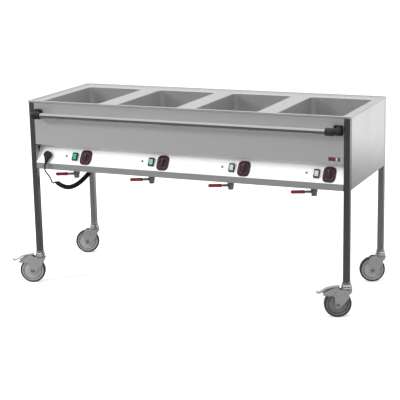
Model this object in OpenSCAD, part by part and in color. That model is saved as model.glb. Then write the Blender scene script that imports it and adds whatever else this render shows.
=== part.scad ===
// Mobile four-well steam table (bain-marie trolley).
// +X runs along the length to the right-hand end, +Y from the control side to the
// back, +Z up. The origin is on the floor under the middle of the whole outline.
// All dimensions are in millimetres.

/* [Body] */
// Length of the body over the legs
body_l = 1600; // [1560:10:1700]
// Depth of the body over the legs
body_d = 598; // [590:1:640]
// Height of the top rim above the floor
body_h = 910; // [880:5:940]
// Side of the square leg tube
leg_w = 28; // [26:1:32]
// Height of the leg ends above the floor
leg_z = 160; // [158:1:164]
// Height of the underside of the body
base_z = 578; // [570:1:590]
// Thickness of the sheet metal
sheet = 1.5; // [1:0.1:2]
// How far the rim stands out past the legs
rim_out = 2; // [1:0.5:4]
// How far the deck lies below the rim
deck_drop = 6; // [4:1:8]

/* [Wells] */
// Pitch of the wells
well_pitch = 400; // [380:5:410]
// Inside width of a well
well_w = 305; // [300:1:310]
// Inside length of a well
well_l = 500; // [480:1:505]
// Depth of a well below the deck
well_depth = 196; // [150:1:198]
// Corner radius of a well
well_r = 25; // [15:1:40]
// Distance from the front of the body to the front of a well
well_y = 37; // [35:1:45]

/* [Controls] */
// Lower edge of the sloped control panel above the floor
panel_z = 608; // [600:1:612]
// Lean of the control panel back from the vertical, degrees
panel_tilt = 31; // [25:1:33]
// Pitch of the four sets of controls
ctl_pitch = 404; // [395:1:406]
// Middle of the four lamps along the body
lamp_x = -10; // [-20:1:10]
// Middle of the four switches along the body
switch_x = 38; // [30:1:45]
// Middle of the four dials along the body
dial_x = 96; // [92:1:102]
// Height of the control centres up the slope
ctl_s = 41; // [38:1:44]

/* [Drains] */
// Middle of the four drains along the body
drain_x = 3; // [0:1:10]
// Distance of the drains from the front of the body
drain_y = 90; // [85:1:95]
// Height of the drain ball above the floor
drain_z = 550; // [548:1:552]

// How far the drain levers dip towards their grips at rest, degrees
lever_dip = 5; // [0:1:8]

/* [Handle] */
// Distance of the rail in front of the body
rail_y = 55; // [50:1:60]
// Height of the rail above the floor
rail_z = 849; // [840:1:855]
// Radius of the rail
rail_r = 12.5; // [11:0.5:14]

/* [Casters] */
// Wheel radius
wheel_r = 62; // [60:0.5:63]
// Trail of the wheel behind its stem
trail = 39; // [36:1:41]
// Angle that the casters are swivelled to
swivel = 23.3; // [0:0.1:30]

/* [Hidden] */
$fn = 48;
eps = 0.01;
off_x = 49.6;
off_y = -268.4;
fl = [-body_l/2 + leg_w/2, leg_w/2];
fr = [body_l/2 - leg_w/2, leg_w/2];
rl = [-body_l/2 + leg_w/2, body_d - leg_w/2];
rr_ = [body_l/2 - leg_w/2, body_d - leg_w/2];
in_x = body_l/2 - leg_w;            // inner face of a leg
deck_z = body_h - deck_drop;        // top of the deck
fold_z = deck_z - sheet;            // underside of the deck
panel_top = 96;                     // slope length of the control panel
pin = 0.05;                         // running clearance on a radius
well_cx = [for (i = [0:3]) (i - 1.5) * well_pitch];
lamp_cx = [for (i = [0:3]) (i - 1.5) * ctl_pitch + lamp_x];
switch_cx = [for (i = [0:3]) (i - 1.5) * ctl_pitch + switch_x];
dial_cx = [for (i = [0:3]) (i - 1.5) * ctl_pitch + dial_x];
drain_cx = [for (i = [0:3]) (i - 1.5) * ctl_pitch + drain_x];
// curly cord: centre line of the coil, from the gland to its free end
coil_r = 12.2;
coil_pts = [[-548, 126, 556], [-553, 125, 545], [-566, 123, 532], [-582, 120, 515],
            [-602, 117, 497], [-628, 112, 480], [-659, 108, 469], [-688, 105, 472],
            [-709, 102, 482], [-728, 100, 493]];
// straight lead from the coil up to the plug
lead_r = 3.5;
lead_pts = [[-728, 100, 493], [-734, 98.5, 489], [-739.5, 94, 488], [-742, 86, 494],
            [-739.5, 74, 509], [-735.5, 56, 526], [-732, 34, 544], [-728.5, 12, 560],
            [-723, -7, 575], [-718, -15.5, 589], [-715, -16.5, 604], [-714, -12.9, 614.6]];

steel = "gainsboro";
dark = [0.08, 0.08, 0.09];

// ---------- helpers ----------
module place() { translate([off_x, off_y, 0]) children(); }

// rounded rectangle made of plain squares and circles
module rrect(w, d, r) {
  square([w - 2*r, d], center = true);
  square([w, d - 2*r], center = true);
  for (sx = [-1, 1], sy = [-1, 1]) translate([sx*(w/2 - r), sy*(d/2 - r)]) circle(r);
}

// a profile in (Y, Z) drawn out along X from x0 to x1
module along_x(x0, x1) { translate([x0, 0, 0]) rotate([90, 0, 90]) linear_extrude(x1 - x0) children(); }

// onto the control panel: local X along the body, Y up the slope, Z outwards
module on_panel(x, s) { translate([x, 0, panel_z]) rotate([90 - panel_tilt, 0, 0]) translate([0, s, 0]) children(); }

// onto a caster: local X from trailing to leading, Y along the axle
module at_caster(c) { translate([c[0], c[1], 0]) rotate([0, 0, swivel]) children(); }

// square tube along Z
module tube(w, t, z0, z1, r) {
  translate([0, 0, z0]) difference() {
    linear_extrude(z1 - z0) rrect(w, w, r);
    translate([0, 0, -1]) linear_extrude(z1 - z0 + 2) rrect(w - 2*t, w - 2*t, r - t);
  }
}

// round tube swept along a list of points
function unit(v) = v / norm(v);
function dir(p, i) = unit(p[min(i + 1, len(p) - 1)] - p[max(i - 1, 0)]);
function side(d) = unit(cross([0.2, 1, 0.1], d));
function ring(p, i, r, n) = let (d = dir(p, i), a = side(d), b = cross(d, a))
  [for (k = [0:n - 1]) p[i] + r*cos(360*k/n)*a + r*sin(360*k/n)*b];
function spline(p, m) = [for (i = [0:len(p) - 2], k = [0:m - 1]) let (t = k/m,
   p0 = p[max(i - 1, 0)], p1 = p[i], p2 = p[i + 1], p3 = p[min(i + 2, len(p) - 1)])
   0.5*((2*p1) + (p2 - p0)*t + (2*p0 - 5*p1 + 4*p2 - p3)*t*t + (3*p1 - p0 - 3*p2 + p3)*t*t*t)];
function smooth(p, m) = concat(spline(p, m), [p[len(p) - 1]]);
module sweep(p, r, n) {
  k = len(p);
  polyhedron(points = [for (i = [0:k - 1]) each ring(p, i, r, n)],
    faces = concat([[for (j = [0:n - 1]) j]],
      [for (i = [0:k - 2], j = [0:n - 1]) [i*n + j, (i + 1)*n + j, (i + 1)*n + (j + 1) % n, i*n + (j + 1) % n]],
      [[for (j = [n - 1:-1:0]) (k - 1)*n + j]]));
}

// ---------- deck and wells ----------
module top_deck() color(steel) place() {
  lo = -rim_out; hi = body_d + rim_out; L = body_l + 2*rim_out;
  difference() {
    translate([-L/2, lo, body_h - 9]) cube([L, hi - lo, 9]);
    // recessed deck surface
    translate([0, body_d/2, deck_z]) linear_extrude(20) rrect(L - 22, body_d + 2*rim_out - 22, 6);
    // hollow underside inside the folded rim
    translate([-L/2 + sheet, lo + sheet, fold_z - 20]) cube([L - 2*sheet, hi - lo - 2*sheet, 20]);
    for (x = well_cx) translate([x, well_y + well_l/2, body_h - 30]) linear_extrude(60) rrect(well_w, well_l, well_r);
  }
}

module well(i) color(steel) place() {
  x = well_cx[i]; cy = well_y + well_l/2; zb = deck_z - well_depth;
  difference() {
    union() {
      translate([x, cy, fold_z - sheet]) linear_extrude(sheet) rrect(well_w + 30, well_l + 30, well_r + 12);
      translate([x, cy, zb - sheet]) linear_extrude(well_depth - 0.5) rrect(well_w + 2*sheet, well_l + 2*sheet, well_r + sheet);
      translate([drain_cx[i], drain_y, drain_z + 26]) cylinder(r = 12.5, h = zb - sheet - drain_z - 26 + 1);
    }
    translate([x, cy, zb]) linear_extrude(well_depth + 20) rrect(well_w, well_l, well_r);
    translate([drain_cx[i], drain_y, drain_z]) cylinder(r = 10, h = 200);
  }
}
module well_1() well(0);
module well_2() well(1);
module well_3() well(2);
module well_4() well(3);

// ---------- frame and panels ----------
module leg(c) translate([c[0], c[1], 0]) tube(leg_w, 1.5, leg_z, fold_z, 3);
module legs_front() color("dimgray") place() { leg(fl); leg(fr); }
module legs_rear() color("dimgray") place() { leg(rl); leg(rr_); }

module front_apron() color("silver") place() difference() {
  along_x(-in_x, in_x) polygon([[2, 697], [52, 697], [52, 698.5], [3.5, 698.5], [3.5, fold_z - sheet],
    [18, fold_z - sheet], [18, fold_z], [2, fold_z]]);
  for (sx = [-1, 1], dz = [-16, 16]) translate([sx*748, -2, rail_z - 2 + dz]) rotate([-90, 0, 0]) cylinder(r = 3.2, h = 10);
}

module control_panel() color("whitesmoke") place() difference() {
  sy = panel_top*sin(panel_tilt); sz = panel_top*cos(panel_tilt);
  along_x(-in_x, in_x) polygon([[0, base_z], [0, panel_z], [sy, panel_z + sz], [sy, 697],
    [sy + sheet, 697], [sy + sheet, panel_z + sz - 0.4], [sheet, panel_z - 0.4], [sheet, base_z]]);
  for (x = lamp_cx) on_panel(x, ctl_s + 2) translate([0, 0, -5]) cylinder(r = 4, h = 10);
  for (x = switch_cx) on_panel(x, ctl_s) translate([-11, -15, -5]) cube([22, 30, 10]);
  for (x = dial_cx) on_panel(x, ctl_s) translate([0, 0, -5]) cylinder(r = 5, h = 10);
  on_panel(-714, ctl_s - 2) translate([0, 0, -5]) cylinder(r = 16, h = 10);
}

module side_panel(s) mirror([s, 0, 0]) translate([body_l/2, 0, 0])
  translate([-sheet, leg_w, base_z]) cube([sheet, body_d - 2*leg_w, fold_z - base_z]);
module side_flange(s) mirror([s, 0, 0]) translate([body_l/2 - 18, leg_w, base_z]) cube([18, body_d - 2*leg_w, sheet]);
module side_panel_right() color("silver") place() { union() { side_panel(0); side_flange(0); } }
module side_panel_left() color("silver") place() { union() { side_panel(1); side_flange(1); } }

module rear_panel() color("silver") place()
  along_x(-in_x, in_x) polygon([[body_d - sheet, base_z], [body_d, base_z], [body_d, fold_z],
    [body_d - 16, fold_z], [body_d - 16, fold_z - sheet], [body_d - sheet, fold_z - sheet]]);

module base_tray() color("silver") place() difference() {
  translate([-in_x, sheet, base_z]) cube([2*in_x, body_d - 2*sheet, sheet]);
  for (x = drain_cx) translate([x, drain_y, base_z - 1]) cylinder(r = 17, h = 4);
  translate([-546, 128, base_z - 1]) cylinder(r = 9, h = 4);
  // corners cut round the side flanges
  for (sx = [-1, 1]) translate([sx*(in_x + 5) - 9, leg_w - 0.5, base_z - 1]) cube([18, body_d - 2*leg_w + 1, 4]);
}

// ---------- handle ----------
module handle_rail() color("silver") place()
  translate([-736, -rail_y, rail_z]) rotate([0, 90, 0]) difference() {
    cylinder(r = rail_r, h = 1472);
    translate([0, 0, -1]) cylinder(r = rail_r - 1.5, h = 1474);
  }

module bracket() {
  difference() {
    union() {
      translate([706, -rail_y, rail_z]) rotate([0, 90, 0]) cylinder(r = 17.5, h = 33);
      translate([734, -rail_y, rail_z]) rotate([0, 90, 0]) cylinder(r = 18.5, h = 4);
      // elbow from the socket back to the apron
      translate([734, -rail_y + 18, rail_z]) rotate([0, 0, -90]) rotate_extrude(angle = 90) translate([18, 0]) circle(15.5);
      translate([752, -rail_y + 18, rail_z]) rotate([-90, 0, 0]) cylinder(r = 15.5, h = rail_y - 22);
      // base plate against the apron
      translate([748, 2, rail_z - 2]) rotate([90, 0, 0]) linear_extrude(7) rrect(44, 46, 7);
    }
    translate([705, -rail_y, rail_z]) rotate([0, 90, 0]) cylinder(r = rail_r + 0.1, h = 31.5);
    for (dz = [-16, 16]) translate([748, -8, rail_z - 2 + dz]) rotate([-90, 0, 0]) cylinder(r = 3, h = 20);
  }
}
module handle_brackets() color(dark) place() { bracket(); mirror([1, 0, 0]) bracket(); }

module handle_screws() color("silver") place()
  for (sx = [-1, 1], dz = [-16, 16]) translate([sx*748, 0, rail_z - 2 + dz]) rotate([-90, 0, 0]) {
    translate([0, 0, -4]) cylinder(r = 3, h = 9);
    translate([0, 0, 3.5]) cylinder(r = 5.8, h = 4, $fn = 6);
  }

// ---------- controls ----------
module pilot_lamps() color("darkorange") place()
  for (x = lamp_cx) on_panel(x, ctl_s + 2) union() {
    translate([0, 0, -22]) cylinder(r = 3.9, h = 22);
    cylinder(r = 5.5, h = 1.5);
    intersection() { translate([0, 0, 0.5]) sphere(r = 5); cylinder(r = 6, h = 10); }
  }

module switch_frames() color(dark) place()
  for (x = switch_cx) on_panel(x, ctl_s) difference() {
    union() {
      linear_extrude(11) rrect(26, 40, 2.5);
      translate([-10.8, -14.8, -26]) cube([21.6, 29.6, 27]);
    }
    translate([-9.6, -14.2, -1]) cube([19.2, 28.4, 20]);
    translate([-12, 0, 6]) rotate([0, 90, 0]) cylinder(r = 1.5 + pin, h = 24);
  }

// rocker in its rest attitude, pivot at local height 6
module rocker_at(i) color("seagreen") place() on_panel(switch_cx[i], ctl_s) translate([0, 0, 6]) rotate([9, 0, 0])
  union() {
    rotate([90, 0, 90]) translate([0, 0, -9.2]) linear_extrude(18.4)
      polygon([[-13, -3], [13, -3], [13, 3.5], [0, 5.6], [-13, 3.5]]);
    translate([-10.6, 0, 0]) rotate([0, 90, 0]) cylinder(r = 1.5, h = 21.2);
  }
module rocker_1() rocker_at(0);
module rocker_2() rocker_at(1);
module rocker_3() rocker_at(2);
module rocker_4() rocker_at(3);

module thermostats() color("dimgray") place()
  for (x = dial_cx) on_panel(x, ctl_s) union() {
    translate([-20, -20, -38]) cube([40, 40, 36]);
    translate([0, 0, -3]) cylinder(r = 4.8, h = 5);
    cylinder(r = 3, h = 9.5);
  }

// rounded square with bulged sides
module squircle(a, b, n) polygon([for (k = [0:95]) let (c = cos(3.75*k), s = sin(3.75*k), m = 1/pow(pow(abs(c)/a, n) + pow(abs(s)/b, n), 1/n)) [m*c, m*s]]);

module dial_bezels() color([0.25, 0.06, 0.09]) place()
  for (x = dial_cx) on_panel(x, ctl_s) difference() {
    union() {
      linear_extrude(4) squircle(30, 37, 3.4);
      difference() { cylinder(r = 24, h = 6, $fn = 96); translate([0, 0, -1]) cylinder(r = 20.8, h = 9, $fn = 96); }
    }
    translate([0, 0, -1]) cylinder(r = 6, h = 12);
  }

module knob_at(i) color(dark) place() on_panel(dial_cx[i], ctl_s) difference() {
  union() {
    translate([0, 0, 4.3]) cylinder(r = 20, h = 4.2, $fn = 96);
    translate([0, 0, 8]) linear_extrude(8) intersection() { circle(18.5, $fn = 96); square([12, 50], center = true); }
  }
  translate([0, 0, 3]) cylinder(r = 3 + pin, h = 6.8);
}
module knob_1() knob_at(0);
module knob_2() knob_at(1);
module knob_3() knob_at(2);
module knob_4() knob_at(3);

// ---------- heating ----------
module heater(x) translate([x, well_y + well_l/2 + 45, deck_z - well_depth - sheet - 4.1]) {
  for (sx = [-90, -30, 30, 90]) translate([sx, -190, 0]) rotate([-90, 0, 0]) cylinder(r = 4, h = 350);
  for (sx = [-60, 60]) translate([sx, 160, 0]) rotate_extrude(angle = 180) translate([30, 0]) circle(4);
  translate([0, -190, 0]) rotate([0, 0, 180]) rotate_extrude(angle = 180) translate([30, 0]) circle(4);
}
module heating_elements() color("darkslategray") place() for (x = well_cx) union() heater(x);

// ---------- drains ----------
module valve(x) translate([x, drain_y, 0]) difference() {
  union() {
    translate([0, 0, drain_z - 24]) cylinder(r = 13, h = 20);
    translate([0, 0, drain_z - 15]) cylinder(r = 15, h = 8, $fn = 6);
    translate([0, 0, drain_z]) sphere(r = 16.5, $fn = 64);
    translate([0, 0, drain_z]) cylinder(r = 15, h = 42);
    translate([0, 0, drain_z]) rotate([90, 0, 0]) cylinder(r = 8, h = 20);
  }
  translate([0, 0, drain_z - 30]) cylinder(r = 9.3, h = 18);
  translate([0, 0, drain_z - 13]) cylinder(r = 6, h = 30);
  translate([0, 0, drain_z]) sphere(r = 9.8, $fn = 64);
  translate([0, 0, drain_z + 14]) cylinder(r = 10, h = 40);
  translate([0, 0, drain_z + 25]) cylinder(r = 12.6, h = 40);
  translate([0, 0, drain_z]) rotate([90, 0, 0]) cylinder(r = 3.5 + pin, h = 30);
}
module valve_bodies() color("silver") place() for (x = drain_cx) valve(x);

// ball, stem and handle plate turn as one piece
module lever_at(i) color("silver") place() translate([drain_cx[i], drain_y, drain_z]) union() {
  difference() { sphere(r = 9.5, $fn = 64); translate([-20, 0, 0]) rotate([0, 90, 0]) cylinder(r = 6, h = 40); }
  rotate([90, 0, 0]) translate([0, 0, 8]) cylinder(r = 3.5, h = 18);
  rotate([90, 0, 0]) translate([0, 0, 21]) cylinder(r = 9.5, h = 3);
  rotate([90, 0, 0]) translate([0, 0, 24]) cylinder(r = 5.5, h = 3.5, $fn = 6);
  rotate([0, -lever_dip, 0]) {
    translate([-36, -24, -6]) cube([34, 3, 12]);
    translate([-97, -24, -5]) cube([63, 3, 9]);
  }
}
module valve_lever_1() lever_at(0);
module valve_lever_2() lever_at(1);
module valve_lever_3() lever_at(2);
module valve_lever_4() lever_at(3);

module grip_at(i) color("firebrick") place() translate([drain_cx[i], drain_y, drain_z]) rotate([0, -lever_dip, 0]) difference() {
  translate([0, -18, 0]) rotate([90, 0, 0]) linear_extrude(9) translate([-71, -0.5]) rrect(68, 17, 8);
  translate([-97, -24, -5]) cube([80, 3, 9]);
}
module lever_grip_1() grip_at(0);
module lever_grip_2() grip_at(1);
module lever_grip_3() grip_at(2);
module lever_grip_4() grip_at(3);

// ---------- electrical ----------
module terminal_box() color("lightgray") place()
  translate([-600, 260, base_z + sheet]) cube([120, 90, 55]);

module plug_holder() color(dark) place() on_panel(-714, ctl_s - 2) difference() {
  union() { cylinder(r = 19, h = 4, $fn = 64); translate([0, 0, -14]) cylinder(r = 15.5, h = 15); }
  for (s = [-9.5, 9.5]) translate([s, 0, -11]) cylinder(r = 2.6, h = 30);
}

module plug() color(dark) place() union() {
  on_panel(-714, ctl_s - 2) {
    translate([0, 0, 4]) cylinder(r = 18.5, h = 14, $fn = 64);
    translate([0, 0, 18]) cylinder(r1 = 18.5, r2 = 15, h = 4, $fn = 64);
    for (s = [-9.5, 9.5]) translate([s, 0, -10]) cylinder(r = 2.4, h = 16);
    translate([0, -8, 14.5]) rotate([90, 0, 0]) cylinder(r1 = 9.5, r2 = 6, h = 26);
  }
  translate(lead_pts[11]) rotate([-31, 0, 0]) translate([0, 0, -0.5]) cylinder(r = 5.6, h = 9);
}

module cable_gland() color(dark) place() translate([-546, 128, 0]) difference() {
  union() {
    translate([0, 0, base_z - 6]) cylinder(r = 14, h = 6, $fn = 6);
    translate([0, 0, base_z - 14]) cylinder(r = 11.5, h = 9);
    // tapered strain relief
    translate([0, 0, base_z - 22]) cylinder(r1 = 4.8, r2 = 8.6, h = 8.5);
    translate([0, 0, base_z - 6]) cylinder(r = 8.8, h = 18);
    translate([0, 0, base_z + sheet]) cylinder(r = 14, h = 5, $fn = 6);
  }
  translate([0, 0, base_z - 30]) cylinder(r = 3.6, h = 60);
}

module cord_coil() color(dark) place() sweep(smooth(coil_pts, 2), coil_r, 12);
module cord_lead() color(dark) place() sweep(smooth(lead_pts, 2), lead_r, 8);

module name_plate() color("firebrick") place() {
  translate([729, 2, 718]) rotate([90, 0, 0]) linear_extrude(1.2) rrect(54, 17, 3);
}

// ---------- casters ----------
module fitting(c) at_caster(c) difference() {
  union() {
    translate([0, 0, 141]) cylinder(r = 24, h = 7);
    translate([0, 0, 148]) cylinder(r1 = 24, r2 = 21, h = 3);
    translate([0, 0, 151]) cylinder(r = 20, h = leg_z - 151);
    rotate([0, 0, -swivel]) translate([0, 0, leg_z - 1]) linear_extrude(36) rrect(leg_w - 3.2, leg_w - 3.2, 1.4);
  }
  translate([0, 0, 135]) cylinder(r = 6 + pin, h = 16);
}
module caster_fittings() color("silver") place() for (c = [fl, fr, rl, rr_]) fitting(c);

fork_plain = [[25, 129], [25, 121], [11, 91], [-28, 47], [-33, 44.5], [-45, 44.5], [-50, 47], [-53, 92],
              [-62, 104], [-60, 112], [-44, 129]];
fork_brake = [[25, 129], [25, 121], [11, 91], [-28, 47], [-33, 44.5], [-45, 44.5], [-50, 47], [-53, 92],
              [-61, 101], [-103, 103], [-109, 110], [-84, 126], [-60, 137], [-36, 139], [-30, 129]];
module cheek(pts, y0) translate([0, y0 + 3, 0]) rotate([90, 0, 0]) linear_extrude(3) polygon(pts);
module fork(c, braked) color("lightgray") place() at_caster(c) union() {
  pts = braked ? fork_brake : fork_plain;
  difference() {
    union() {
      cheek(pts, -20);
      cheek(pts, 17);
      // crown plate, front web and swivel head
      translate([-26, -20, 125.5]) cube([51, 40, 3.5]);
      translate([20, -20, 108]) cube([3, 40, 20]);
      translate([0, 0, 128]) cylinder(r = 25, h = 12.5);
    }
    if (braked) translate([-48, -30, 131]) rotate([-90, 0, 0]) cylinder(r = 3, h = 60);
    // front edge of the web follows the cheek
    translate([25, -30, 121]) rotate([0, 25, 0]) translate([0, 0, -40]) cube([20, 60, 40]);
  }
  translate([0, 0, 126]) cylinder(r = 6, h = 23);
  translate([-trail, -22, wheel_r]) rotate([-90, 0, 0]) cylinder(r = 5, h = 44);
  translate([-trail, -24, wheel_r]) rotate([-90, 0, 0]) cylinder(r = 7.5, h = 4.5, $fn = 6);
  translate([-trail, 19.5, wheel_r]) rotate([-90, 0, 0]) cylinder(r = 7.5, h = 4.5, $fn = 6);
}
module fork_front_left() fork(fl, true);
module fork_front_right() fork(fr, true);
module fork_rear_left() fork(rl, false);
module fork_rear_right() fork(rr_, false);

// wheel core: bore, hub, web, groove and rim
module wheel(c) color("darkgray") place() at_caster(c) translate([-trail, 0, wheel_r]) rotate([-90, 0, 0])
  rotate_extrude($fn = 96) polygon([[5 + pin, -16.6], [11, -16.6], [13, -11], [40, -9.5], [43, -6], [46.5, -6], [47.5, -13],
    [54, -12], [54, 12], [47.5, 13], [46.5, 6], [43, 6], [40, 9.5], [13, 11], [11, 16.6], [5 + pin, 16.6]]);
module wheel_front_left() wheel(fl);
module wheel_front_right() wheel(fr);
module wheel_rear_left() wheel(rl);
module wheel_rear_right() wheel(rr_);

// tyre: band with rounded shoulders on the rim
function shoulder(cx, cy, r, a0, a1, n) = [for (k = [0:n]) [cx + r*cos(a0 + (a1 - a0)*k/n), cy + r*sin(a0 + (a1 - a0)*k/n)]];
module tyre(c) color(dark) place() at_caster(c) translate([-trail, 0, wheel_r]) rotate([-90, 0, 0])
  rotate_extrude($fn = 96) polygon(concat([[54, -14]], shoulder(wheel_r - 6, -9, 6, -80, 0, 5), shoulder(wheel_r - 6, 9, 6, 0, 80, 5), [[54, 14]]));
module tyre_front_left() tyre(fl);
module tyre_front_right() tyre(fr);
module tyre_rear_left() tyre(rl);
module tyre_rear_right() tyre(rr_);

// foot pedal: bent plate with two lugs on a pivot pin
pedal_pts = [[-31, 141], [-60, 138], [-86, 132.5], [-117, 113.5], [-128, 111.5], [-136, 119], [-133, 122], [-126.5, 116],
             [-119, 118], [-88, 137], [-60, 142.5], [-31, 145.5]];
module pedal(c) color("lightgray") place() at_caster(c) union() {
  translate([0, 13, 0]) rotate([90, 0, 0]) linear_extrude(26) polygon(pedal_pts);
  for (y0 = [-13, 10]) translate([0, y0 + 3, 0]) rotate([90, 0, 0]) linear_extrude(3) union() {
    translate([-48, 131]) circle(5.5);
    translate([-53.5, 131]) square([11, 10]);
  }
  translate([-48, -21, 131]) rotate([-90, 0, 0]) cylinder(r = 3 - pin, h = 42);
}
module brake_pedal_left() pedal(fl);
module brake_pedal_right() pedal(fr);

top_deck();
well_1();
well_2();
well_3();
well_4();
legs_front();
legs_rear();
front_apron();
control_panel();
side_panel_left();
side_panel_right();
rear_panel();
base_tray();
handle_rail();
handle_brackets();
handle_screws();
pilot_lamps();
switch_frames();
thermostats();
dial_bezels();
heating_elements();
valve_bodies();
caster_fittings();
terminal_box();
plug_holder();
cable_gland();
cord_coil();
cord_lead();
plug();
name_plate();
knob_1();
knob_2();
knob_3();
knob_4();
rocker_1();
rocker_2();
rocker_3();
rocker_4();
valve_lever_1();
valve_lever_2();
valve_lever_3();
valve_lever_4();
lever_grip_1();
lever_grip_2();
lever_grip_3();
lever_grip_4();
fork_front_left();
fork_front_right();
fork_rear_left();
fork_rear_right();
wheel_front_left();
wheel_front_right();
wheel_rear_left();
wheel_rear_right();
tyre_front_left();
tyre_front_right();
tyre_rear_left();
tyre_rear_right();
brake_pedal_left();
brake_pedal_right();
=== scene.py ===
import math
import bpy
import bmesh
import numpy as np
from mathutils import Matrix, Vector


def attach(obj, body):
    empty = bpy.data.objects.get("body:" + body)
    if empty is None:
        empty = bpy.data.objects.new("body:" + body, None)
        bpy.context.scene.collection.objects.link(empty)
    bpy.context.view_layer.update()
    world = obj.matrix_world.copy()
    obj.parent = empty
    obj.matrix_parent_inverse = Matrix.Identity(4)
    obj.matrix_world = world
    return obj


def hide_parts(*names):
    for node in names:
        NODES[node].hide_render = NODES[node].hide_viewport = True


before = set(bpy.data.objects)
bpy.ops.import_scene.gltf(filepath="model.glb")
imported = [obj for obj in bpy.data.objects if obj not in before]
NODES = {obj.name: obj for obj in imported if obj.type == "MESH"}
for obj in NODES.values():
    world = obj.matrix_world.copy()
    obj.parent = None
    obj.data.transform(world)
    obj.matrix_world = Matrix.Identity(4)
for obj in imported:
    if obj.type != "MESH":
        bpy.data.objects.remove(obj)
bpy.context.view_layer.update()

scene = bpy.context.scene

# ------------------------------------------------------------------ numbers shared with the CAD, in mm
OX, OY = 49.6, -268.4          # body coordinates to the row frame
LEG, LEG_Z = 28.0, 160.0
L, D, H = 1600.0, 598.0, 910.0
BASE_Z, PANEL_Z, TILT = 578.0, 608.0, math.radians(31)
DECK_Z = 904.0
SWIVEL = math.radians(23.3)
TRAIL, WR = 39.0, 62.0
WELL_CX = [-600.0, -200.0, 200.0, 600.0]
LAMP_CX = [(i - 1.5) * 404 - 10 for i in range(4)]
SWITCH_CX = [(i - 1.5) * 404 + 38 for i in range(4)]
DIAL_CX = [(i - 1.5) * 404 + 96 for i in range(4)]
DRAIN_CX = [(i - 1.5) * 404 + 3 for i in range(4)]
DRAIN_Y, DRAIN_Z = 90.0, 550.0
RAIL_Y, RAIL_Z, RAIL_R = -55.0, 849.0, 12.5
CORNERS = {"front_left": (-786.0, 14.0), "front_right": (786.0, 14.0), "rear_left": (-786.0, 584.0), "rear_right": (786.0, 584.0)}

TO_ROW = Matrix.Diagonal((0.001, 0.001, 0.001, 1)) @ Matrix.Translation((OX, OY, 0))
BODY = Matrix.Identity(4)


def on_panel(x, s, z=0.0):
    """Local X along the body, Y up the sloped panel, Z out of it."""
    return (Matrix.Translation((x, 0, PANEL_Z)) @ Matrix.Rotation(math.pi / 2 - TILT, 4, "X") @ Matrix.Translation((0, s, z)))


def at_caster(name):
    x, y = CORNERS[name]
    return Matrix.Translation((x, y, 0)) @ Matrix.Rotation(SWIVEL, 4, "Z")


def row(v):
    return TO_ROW @ Vector(v)


# ------------------------------------------------------------------ camera
cam_data = bpy.data.cameras.new("camera")
cam = bpy.data.objects.new("camera", cam_data)
scene.collection.objects.link(cam)
yaw, pitch, roll = 0.406, 0.237, -0.019
fwd = Vector((-math.sin(yaw) * math.cos(pitch), math.cos(yaw) * math.cos(pitch), -math.sin(pitch)))
right0 = Vector((math.cos(yaw), math.sin(yaw), 0))
up0 = right0.cross(fwd)
right = math.cos(roll) * right0 + math.sin(roll) * up0
up = -math.sin(roll) * right0 + math.cos(roll) * up0
rot = Matrix((right, up, -fwd)).transposed().to_4x4()
cam.matrix_world = Matrix.Translation(row((2306.8, -5096.7, 1824.7))) @ rot
cam_data.sensor_width = 36.0
cam_data.lens = 1242.12 / 400 * 36
cam_data.shift_x = -0.0141
cam_data.shift_y = 0.0021
cam_data.clip_start, cam_data.clip_end = 0.05, 500
cam_data.dof.use_dof = False
scene.camera = cam


# ------------------------------------------------------------------ node helpers for materials
def new_mat(name):
    m = bpy.data.materials.new(name)
    m.use_nodes = True
    nt = m.node_tree
    bsdf = next(n for n in nt.nodes if n.type == "BSDF_PRINCIPLED")
    return m, nt, bsdf


def coords(nt, scale=(1, 1, 1), rot=(0, 0, 0)):
    tc = nt.nodes.new("ShaderNodeTexCoord")
    mp = nt.nodes.new("ShaderNodeMapping")
    mp.inputs["Scale"].default_value = scale
    mp.inputs["Rotation"].default_value = rot
    nt.links.new(tc.outputs["Object"], mp.inputs["Vector"])
    return mp.outputs["Vector"]


def noise(nt, vec, scale, detail=3.0, rough=0.5, dist=0.0):
    n = nt.nodes.new("ShaderNodeTexNoise")
    n.inputs["Scale"].default_value = scale
    n.inputs["Detail"].default_value = detail
    n.inputs["Roughness"].default_value = rough
    n.inputs["Distortion"].default_value = dist
    nt.links.new(vec, n.inputs["Vector"])
    return n.outputs["Fac"]


def ramp(nt, fac, lo, hi, c0, c1):
    r = nt.nodes.new("ShaderNodeValToRGB")
    r.color_ramp.elements[0].position = lo
    r.color_ramp.elements[1].position = hi
    r.color_ramp.elements[0].color = (*c0, 1) if len(c0) == 3 else c0
    r.color_ramp.elements[1].color = (*c1, 1) if len(c1) == 3 else c1
    nt.links.new(fac, r.inputs["Fac"])
    return r.outputs["Color"]


def maprange(nt, fac, a, b, lo=0.0, hi=1.0):
    n = nt.nodes.new("ShaderNodeMapRange")
    n.inputs["From Min"].default_value = lo
    n.inputs["From Max"].default_value = hi
    n.inputs["To Min"].default_value = a
    n.inputs["To Max"].default_value = b
    nt.links.new(fac, n.inputs["Value"])
    return n.outputs["Result"]


def math_node(nt, op, a, b):
    n = nt.nodes.new("ShaderNodeMath")
    n.operation = op
    for i, v in enumerate((a, b)):
        if isinstance(v, (int, float)):
            n.inputs[i].default_value = v
        else:
            nt.links.new(v, n.inputs[i])
    return n.outputs[0]


def mix_color(nt, fac, a, b):
    n = nt.nodes.new("ShaderNodeMix")
    n.data_type = "RGBA"
    if isinstance(fac, (int, float)):
        n.inputs[0].default_value = fac
    else:
        nt.links.new(fac, n.inputs[0])
    for i, v in ((6, a), (7, b)):
        if isinstance(v, (tuple, list)):
            n.inputs[i].default_value = (*v, 1)
        else:
            nt.links.new(v, n.inputs[i])
    return n.outputs[2]


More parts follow.
